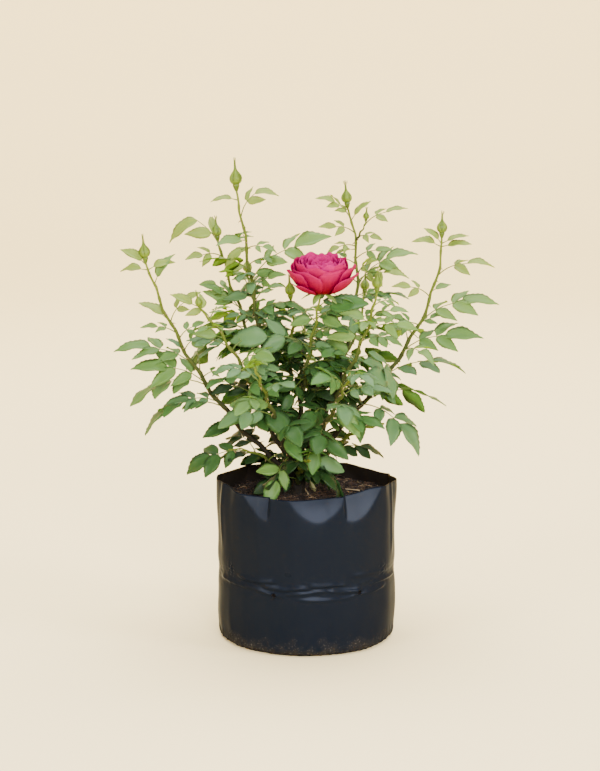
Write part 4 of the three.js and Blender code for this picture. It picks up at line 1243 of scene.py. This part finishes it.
BLOOM_FOOT = np.array(PLANS["bloom"].guides[-1]) + [1.5, 0, 6.3]
BLOOM_REACH, BLOOM_HEIGHT = 37, 40  # the sizes that the petals are given for, in mm
OUTER_REACH = 25  # petals that reach further are outer ones
PETAL_GRID = 15  # rows and columns of points on a petal
# The bloom's hip from its stalk up, as radii and heights in mm.
HIP_PROFILE = ((0.05, -6.6), (1.4, -6.2), (3.2, -4.0), (4.0, -1.0), (3.8, 1.4), (6.0, 2.8), (0.05, 3.6))


def petal_points(reach, tall, half, turn_through, bearing, chance):
    """One petal, round the bloom's axis. Its profile is an arc, out by the sine and up by one less the
    cosine. It is narrow at its foot, its corners round off, its rim rolls outwards, and one side lies over
    the next."""
    u = np.linspace(0, 1, PETAL_GRID)[:, None]
    v = np.linspace(-1, 1, PETAL_GRID)[None]
    most = math.radians(turn_through)
    foot = min(2.5, reach * 0.4)
    out = foot + (reach - foot) * np.sin(most * u) / math.sin(min(most, math.pi / 2))
    rim = smooth(0.80, 1.0, u)
    roll = rim * (0.05 * reach + 0.6) * (0.3 + chance[0])
    ruffle = (0.3 + 0.022 * reach) * np.sin(v * (3.5 + 2 * chance[1]) + 6 * chance[2]) * u ** 5
    far = out + roll + ruffle + 0.035 * reach * v * u - 0.05 * reach * v ** 2 * u
    breadth = half * (0.30 + 0.70 * np.sin(math.pi / 2 * np.clip(u / 0.62, 0, 1)))
    turn = math.radians(bearing) + v * breadth * (1 - 0.10 * rim)
    corner = 0.24 * tall * np.abs(v) ** 2.8 * u ** 2.5
    up = tall * (0.95 + 0.10 * chance[3]) * (1 - np.cos(most * u)) / (1 - math.cos(most))
    scallop = 0.022 * tall * np.cos(v * 6.5 + 6 * chance[2]) * u ** 8
    up = up - 0.7 * corner - roll * 0.4 * rim + scallop
    uv = np.stack(np.broadcast_arrays((v + 1) / 2, u), -1)
    faces = grid_faces(PETAL_GRID, PETAL_GRID)[:, ::-1]
    return around(far, turn, up).reshape(-1, 3), faces, uv.reshape(-1, 2)


def on_bloom(points):
    """Leans points of the bloom towards the front by its tilt, and sets them on its cane."""
    x, y, z = points.T
    y, z = spun(y, z, math.radians(BLOOM_TILT))
    return np.stack([x, y, z], -1) + BLOOM_FOOT


def hip_shape():
    """The hip below the bloom: a lathe of its profile."""
    radius, height = profile_at(HIP_PROFILE, 25)
    rows = around(radius[:, None], circle(LATHE_COLUMNS), height[:, None])
    return on_bloom(rows.reshape(-1, 3)), grid_faces(len(rows), LATHE_COLUMNS, closed=True)


def bloom_sepal(number):
    """A sepal below the bloom: a strip that runs out and hangs by powers of the way along it. Its breadth
    is a sine, and it folds down evenly from its midline."""
    along = np.linspace(0, 1, 12)[:, None]
    across = np.linspace(-1, 1, SEPAL_COLUMNS)[None]
    far = 4.2 + 17 * along ** 0.9
    wide = across * (3.4 * np.sin(math.pi * (0.15 + 0.85 * along)) ** 0.8 + 0.15)
    x, y = spun(far, wide, math.radians(30 + 360 / SEPALS * number))
    rows = np.stack([x, y, 1.2 - 9 * along ** 1.8 - 0.3 * np.abs(wide)], -1)
    return on_bloom(rows.reshape(-1, 3)), grid_faces(len(rows), SEPAL_COLUMNS)


def thicken(piece, thickness_mm):
    """Gives a sheet a second face inside its first."""
    wall = piece.modifiers.new("thickness", "SOLIDIFY")
    wall.thickness = thickness_mm * MM
    wall.offset = -1


class ROSE_OT_grow_bag(bpy.types.Operator):
    """Makes the film of the nursery bag"""

    bl_idname = "rose.grow_bag"
    bl_label = "Nursery Bag"

    def execute(self, context):
        bag = context.scene.rose_bag
        outside = film_material((*bag.colour, 1.0))
        inside = new_material(
            "dusty_inner_film", linear("#1c1713"), 0.6, IOR=1.51, Specular_IOR_Level=0.1)[0]
        piece = make_piece("bag_film", gather(film_shape(bag)), [outside, inside], ["grow_bag"])
        thicken(piece, bag.film / MM)
        piece.modifiers["thickness"].material_offset = 1
        return {"FINISHED"}


class ROSE_OT_potting_mix(bpy.types.Operator):
    """Makes the bed of potting mix, with the fibres, crumbs and litter that lie on it"""

    bl_idname = "rose.potting_mix"
    bl_label = "Potting Mix"

    def execute(self, context):
        bag = context.scene.rose_bag
        soil = mix_material()
        make_piece("mix_bed", gather(mix_shape(bag)), [soil], ["potting_mix"])
        make_piece("mix_crumbs", gather(crumbs(bag, *CRUMBS)), [soil])
        for kind, seed, count, lengths, radii, colour in FIBRES:
            strands = gather(fibres(bag, seed, count, lengths, radii))
            coir = plain_material(f"coir_{kind}", colour, 0.85, 6, 0.3)
            make_piece(f"mix_fibres_{kind}", strands, [coir])
        flecks = gather(crumbs(bag, *FLECKS))
        make_piece("mix_flecks", flecks, [plain_material("pale_grit", "#94866c", 0.8)])
        moss = gather(crumbs(bag, *MOSS_LUMPS, MOSS))
        make_piece("moss", moss, [plain_material("moss", "#787c20", 0.9, 1.5, 0.4)])
        sticks = gather(*[stick_shape(bag, *ends) for ends in STICKS])
        make_piece("mix_sticks", sticks, [plain_material("dry_stick", "#8d7c60", 0.8)])
        dry = plain_material("dry_leaf", "#77764a", 0.7)
        make_piece("dry_leaf", gather(dry_leaf_shape()), [dry])
        return {"FINISHED"}


SHOOT_AGE = 0.6  # the age at the foot of a shoot that springs from the stump


class ROSE_OT_wood(bpy.types.Operator):
    """Makes the stump, the canes, their green ends and their thorns"""

    bl_idname = "rose.wood"
    bl_label = "Stump And Canes"

    def execute(self, context):
        bark = bark_material()
        stump, canes, greens, thorns = Gathered(), Gathered(), Gathered(), Gathered()
        stump.add(*stump_shape(), age=1.0)
        make_piece("stump_bark", stump, [bark], ["trunk"])
        for plan in PLANS.values():
            if plan.start:
                points, faces, age = stem_shape(plan, 0, plan.start)
                canes.add(points, faces, age=age)
            points, faces, age = stem_shape(plan, plan.start, 1.0)
            greens.add(points, faces, age=age if plan.start else age * SHOOT_AGE)
            thorns.add(*thorn_shapes(plan, context.scene.rose_bush.thorn_gap / MM))
        make_piece("cane_bark", canes, [bark], [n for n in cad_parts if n.startswith("cane_")])
        make_piece("green_canes", greens, [bark])
        make_piece("thorns", thorns, [plain_material("thorn", "#6a5a36", 0.5, 3, 0.25)])
        return {"FINISHED"}


class ROSE_OT_leaves(bpy.types.Operator):
    """Grows the leaves on their stalks, one piece for each tint"""

    bl_idname = "rose.leaves"
    bl_label = "Leaves"

    def execute(self, context):
        bush = context.scene.rose_bush
        grown = [grown_leaves(plan, bush.between) for plan in PLANS.values()]
        leaves = {key: np.concatenate([some[key] for some in grown]) for key in grown[0]}
        paths, leaflets = leaf_frames(leaves, bush.terminal / MM)
        thin = np.linspace(0.75, 0.4, paths.shape[1])[None].repeat(len(paths), 0)
        green = plain_material("leaf_stalk", "#4a5c20", 0.55, Specular_IOR_Level=0.3)
        sprays = [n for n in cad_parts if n.startswith("spray_")]
        make_piece("leaf_stalks", gather(tubes(paths, thin, 5)), [green], sprays)
        for index, tint in enumerate(TINTS):
            chosen = {key: some[leaflets["tint"] == index] for key, some in leaflets.items()}
            points = leaflet_points(chosen)
            piece = Gathered()
            piece.add(points.reshape(-1, 3), [repeated(some, *points.shape[:2]) for some in leaflet_faces()],
                      slots=(0, 1, 1))
            make_piece(f"leaves_{tint[0]}", piece, leaf_materials(tint))
        return {"FINISHED"}


class ROSE_OT_buds(bpy.types.Operator):
    """Makes the closed buds with their sepals"""

    bl_idname = "rose.buds"
    bl_label = "Buds"

    def execute(self, context):
        hips, sepals = Gathered(), Gathered()
        for plan in PLANS.values():
            if plan.bud:
                tip, heading = curve_point(plan, 1.0), curve_heading(plan, 1.0) + [0, 0, 2]
                for gathered, shape in ((hips, bud_shape), (sepals, sepal_shape)):
                    points, faces = shape(plan.bud, plan.seed)
                    gathered.add(stand_on(points, tip, heading), faces)
        green = plain_material("bud_green", "#44560f", 0.42, 5, 0.12, Specular_IOR_Level=0.3)
        make_piece("bud_hips", hips, [green])
        paler = plain_material("sepal_green", "#566a12", 0.5, 5, 0.12, Specular_IOR_Level=0.3)
        thicken(make_piece("bud_sepals", sepals, [paler]), BUD_SEPAL)
        return {"FINISHED"}


class ROSE_OT_bloom(bpy.types.Operator):
    """Makes the open double bloom with its hip and sepals"""

    bl_idname = "rose.bloom"
    bl_label = "Bloom"

    def execute(self, context):
        size = context.scene.rose_bloom
        wider, taller = size.radius / MM / BLOOM_REACH, size.height / MM / BLOOM_HEIGHT
        outer, inner = Gathered(), Gathered()
        for ring, (count, reach, tall, half, cup, first) in enumerate(PETAL_RINGS):
            for number in range(count):
                chance = draw(ring * 10 + number + 1, np.arange(6))
                bearing = first + 360 / count * number + 16 * (chance[4] - 0.5)
                far = reach * wider * (0.95 + 0.08 * chance[5])
                points, faces, uv = petal_points(far, tall * taller, half, cup, bearing, chance)
                (outer if reach > OUTER_REACH else inner).add(on_bloom(points), faces, uv=uv)
        crimson = petal_material("petal_outer", [
            (0.1, "#46000b"), (0.5, "#640014"), (0.85, "#7e0030"), (1.0, "#8c0042")])
        pink = petal_material("petal_inner", [
            (0.2, "#580012"), (0.7, "#7a002e"), (0.95, "#8c0042"), (1.0, "#960654")])
        thicken(make_piece("bloom_outer_petals", outer, [crimson], ["rose_bloom"]), PETAL)
        thicken(make_piece("bloom_inner_petals", inner, [pink]), PETAL)
        green = plain_material("hip_green", "#33471b", 0.45, 5, 0.12)
        make_piece("bloom_hip", gather(hip_shape()), [green])
        sepals = gather(*[bloom_sepal(number) for number in range(SEPALS)])
        paler = plain_material("sepal_leaf", "#55702c", 0.5, 5, 0.12)
        thicken(make_piece("bloom_sepals", sepals, [paler]), BLOOM_SEPAL)
        return {"FINISHED"}


# The photograph's view: where the camera stands, how far down it looks and its focal length in mm.
CAMERA_AT, LOOKS_DOWN, FOCAL = (-7.0, -2328.0, 708.0), 10.5, 102.29
# Soft boxes: place and aim in mm, width and height in m, power in W, colour. The last lights the backdrop.
SOFT_BOXES = (
    ((430, -2970, 1250), (0, 0, 250), (1.5, 0.6), 170, "#f4f7ff"),
    ((0, 400, 2600), (0, 0, 250), (2.4, 2.4), 160, "#fffdf8"),
    ((-2080, -1875, 1045), (0, 0, 250), (0.75, 0.7), 50, "#f8faff"),
    ((2567, -1256, 983), (0, 0, 250), (0.75, 0.7), 78, "#f8faff"),
    ((0, 1500, 2700), (0, 3900, 900), (3.0, 1.0), 170, "#fff3d8"),
)
AIR_COLOUR, AIR_STRENGTH = "#f6f6f2", 0.7
SEES_TO = 50.0  # how far the camera sees, in metres
FLOOR_SIDES = 96
# The floor and the backdrop that it sweeps up to, as radii and heights in mm.
FLOOR_PROFILE = np.array([
    (0.05, 0), (600, 0), (1800, 0), (2700, 0), (3200, 40), (3600, 180), (3900, 460), (4050, 900),
    (4100, 1500), (4100, 2300)])


def add_camera(scene):
    """The camera, which looks down a little on the bush from the front."""
    camera = bpy.data.objects.new("camera", bpy.data.cameras.new("camera"))
    camera.location = [c * MM for c in CAMERA_AT]
    camera.rotation_euler = (math.radians(90 - LOOKS_DOWN), 0, 0)
    camera.data.lens = FOCAL
    camera.data.clip_end = SEES_TO
    scene.collection.objects.link(camera)
    scene.camera = camera


def add_light(scene):
    """The studio's pale air and its soft boxes."""
    scene.world = bpy.data.worlds.new("studio_air")
    scene.world.use_nodes = True
    air = scene.world.node_tree.nodes["Background"]
    air.inputs["Color"].default_value = linear(AIR_COLOUR)
    air.inputs["Strength"].default_value = AIR_STRENGTH
    for number, (place, aim, size, power, colour) in enumerate(SOFT_BOXES):
        lamp = bpy.data.lights.new(f"soft_box_{number}", "AREA")
        lamp.shape = "RECTANGLE"
        lamp.size, lamp.size_y = size
        lamp.energy = power
        lamp.color = linear(colour)[:3]
        box = bpy.data.objects.new(lamp.name, lamp)
        box.location = [c * MM for c in place]
        heading = Vector(aim) - Vector(place)
        box.rotation_euler = heading.to_track_quat("-Z", "Y").to_euler()
        scene.collection.objects.link(box)


def add_floor(scene):
    """The floor: a lathe of its profile, level below the bush and swept up to the backdrop all round."""
    sweep = around(FLOOR_PROFILE[:, :1], circle(FLOOR_SIDES), FLOOR_PROFILE[:, 1:])
    faces = grid_faces(len(sweep), FLOOR_SIDES, closed=True)
    mesh = bpy.data.meshes.new("floor")
    mesh.from_pydata((sweep.reshape(-1, 3) * MM).tolist(), [], faces.tolist())
    mesh.polygons.foreach_set("use_smooth", np.ones(len(mesh.polygons), bool))
    mesh.materials.append(new_material("pale_floor", linear("#fbe7b2"), 0.9)[0])
    floor = bpy.data.objects.new("floor", mesh)
    scene.collection.objects.link(floor)


class ROSE_OT_stage(bpy.types.Operator):
    """Makes the pale floor, the soft studio light and the camera"""

    bl_idname = "rose.stage"
    bl_label = "Stage"

    def execute(self, context):
        add_camera(context.scene)
        add_light(context.scene)
        add_floor(context.scene)
        return {"FINISHED"}


class ROSE_PT_panel(bpy.types.Panel):
    """Lists the bush's parts in the sidebar"""

    bl_label = "Rose Bush"
    bl_space_type = "VIEW_3D"
    bl_region_type = "UI"
    bl_category = "Rose Bush"

    def draw(self, context):
        for operator in OPERATORS:
            self.layout.operator(operator.bl_idname)


OPERATORS = (
    ROSE_OT_stage, ROSE_OT_grow_bag, ROSE_OT_potting_mix, ROSE_OT_wood, ROSE_OT_leaves, ROSE_OT_buds,
    ROSE_OT_bloom)
SETTINGS = {"rose_bag": BagSettings, "rose_bush": BushSettings, "rose_bloom": BloomSettings}


def register():
    for some in (*SETTINGS.values(), *OPERATORS, ROSE_PT_panel):
        bpy.utils.register_class(some)
    for name, group in SETTINGS.items():
        setattr(bpy.types.Scene, name, PointerProperty(type=group))


def unregister():
    for name in SETTINGS:
        delattr(bpy.types.Scene, name)
    for some in (ROSE_PT_panel, *OPERATORS[::-1], *SETTINGS.values()):
        bpy.utils.unregister_class(some)


def main():
    """Makes every part in turn."""
    register()
    for operator in OPERATORS:
        family, name = operator.bl_idname.split(".")
        getattr(getattr(bpy.ops, family), name)()


if __name__ == "__main__":
    main()
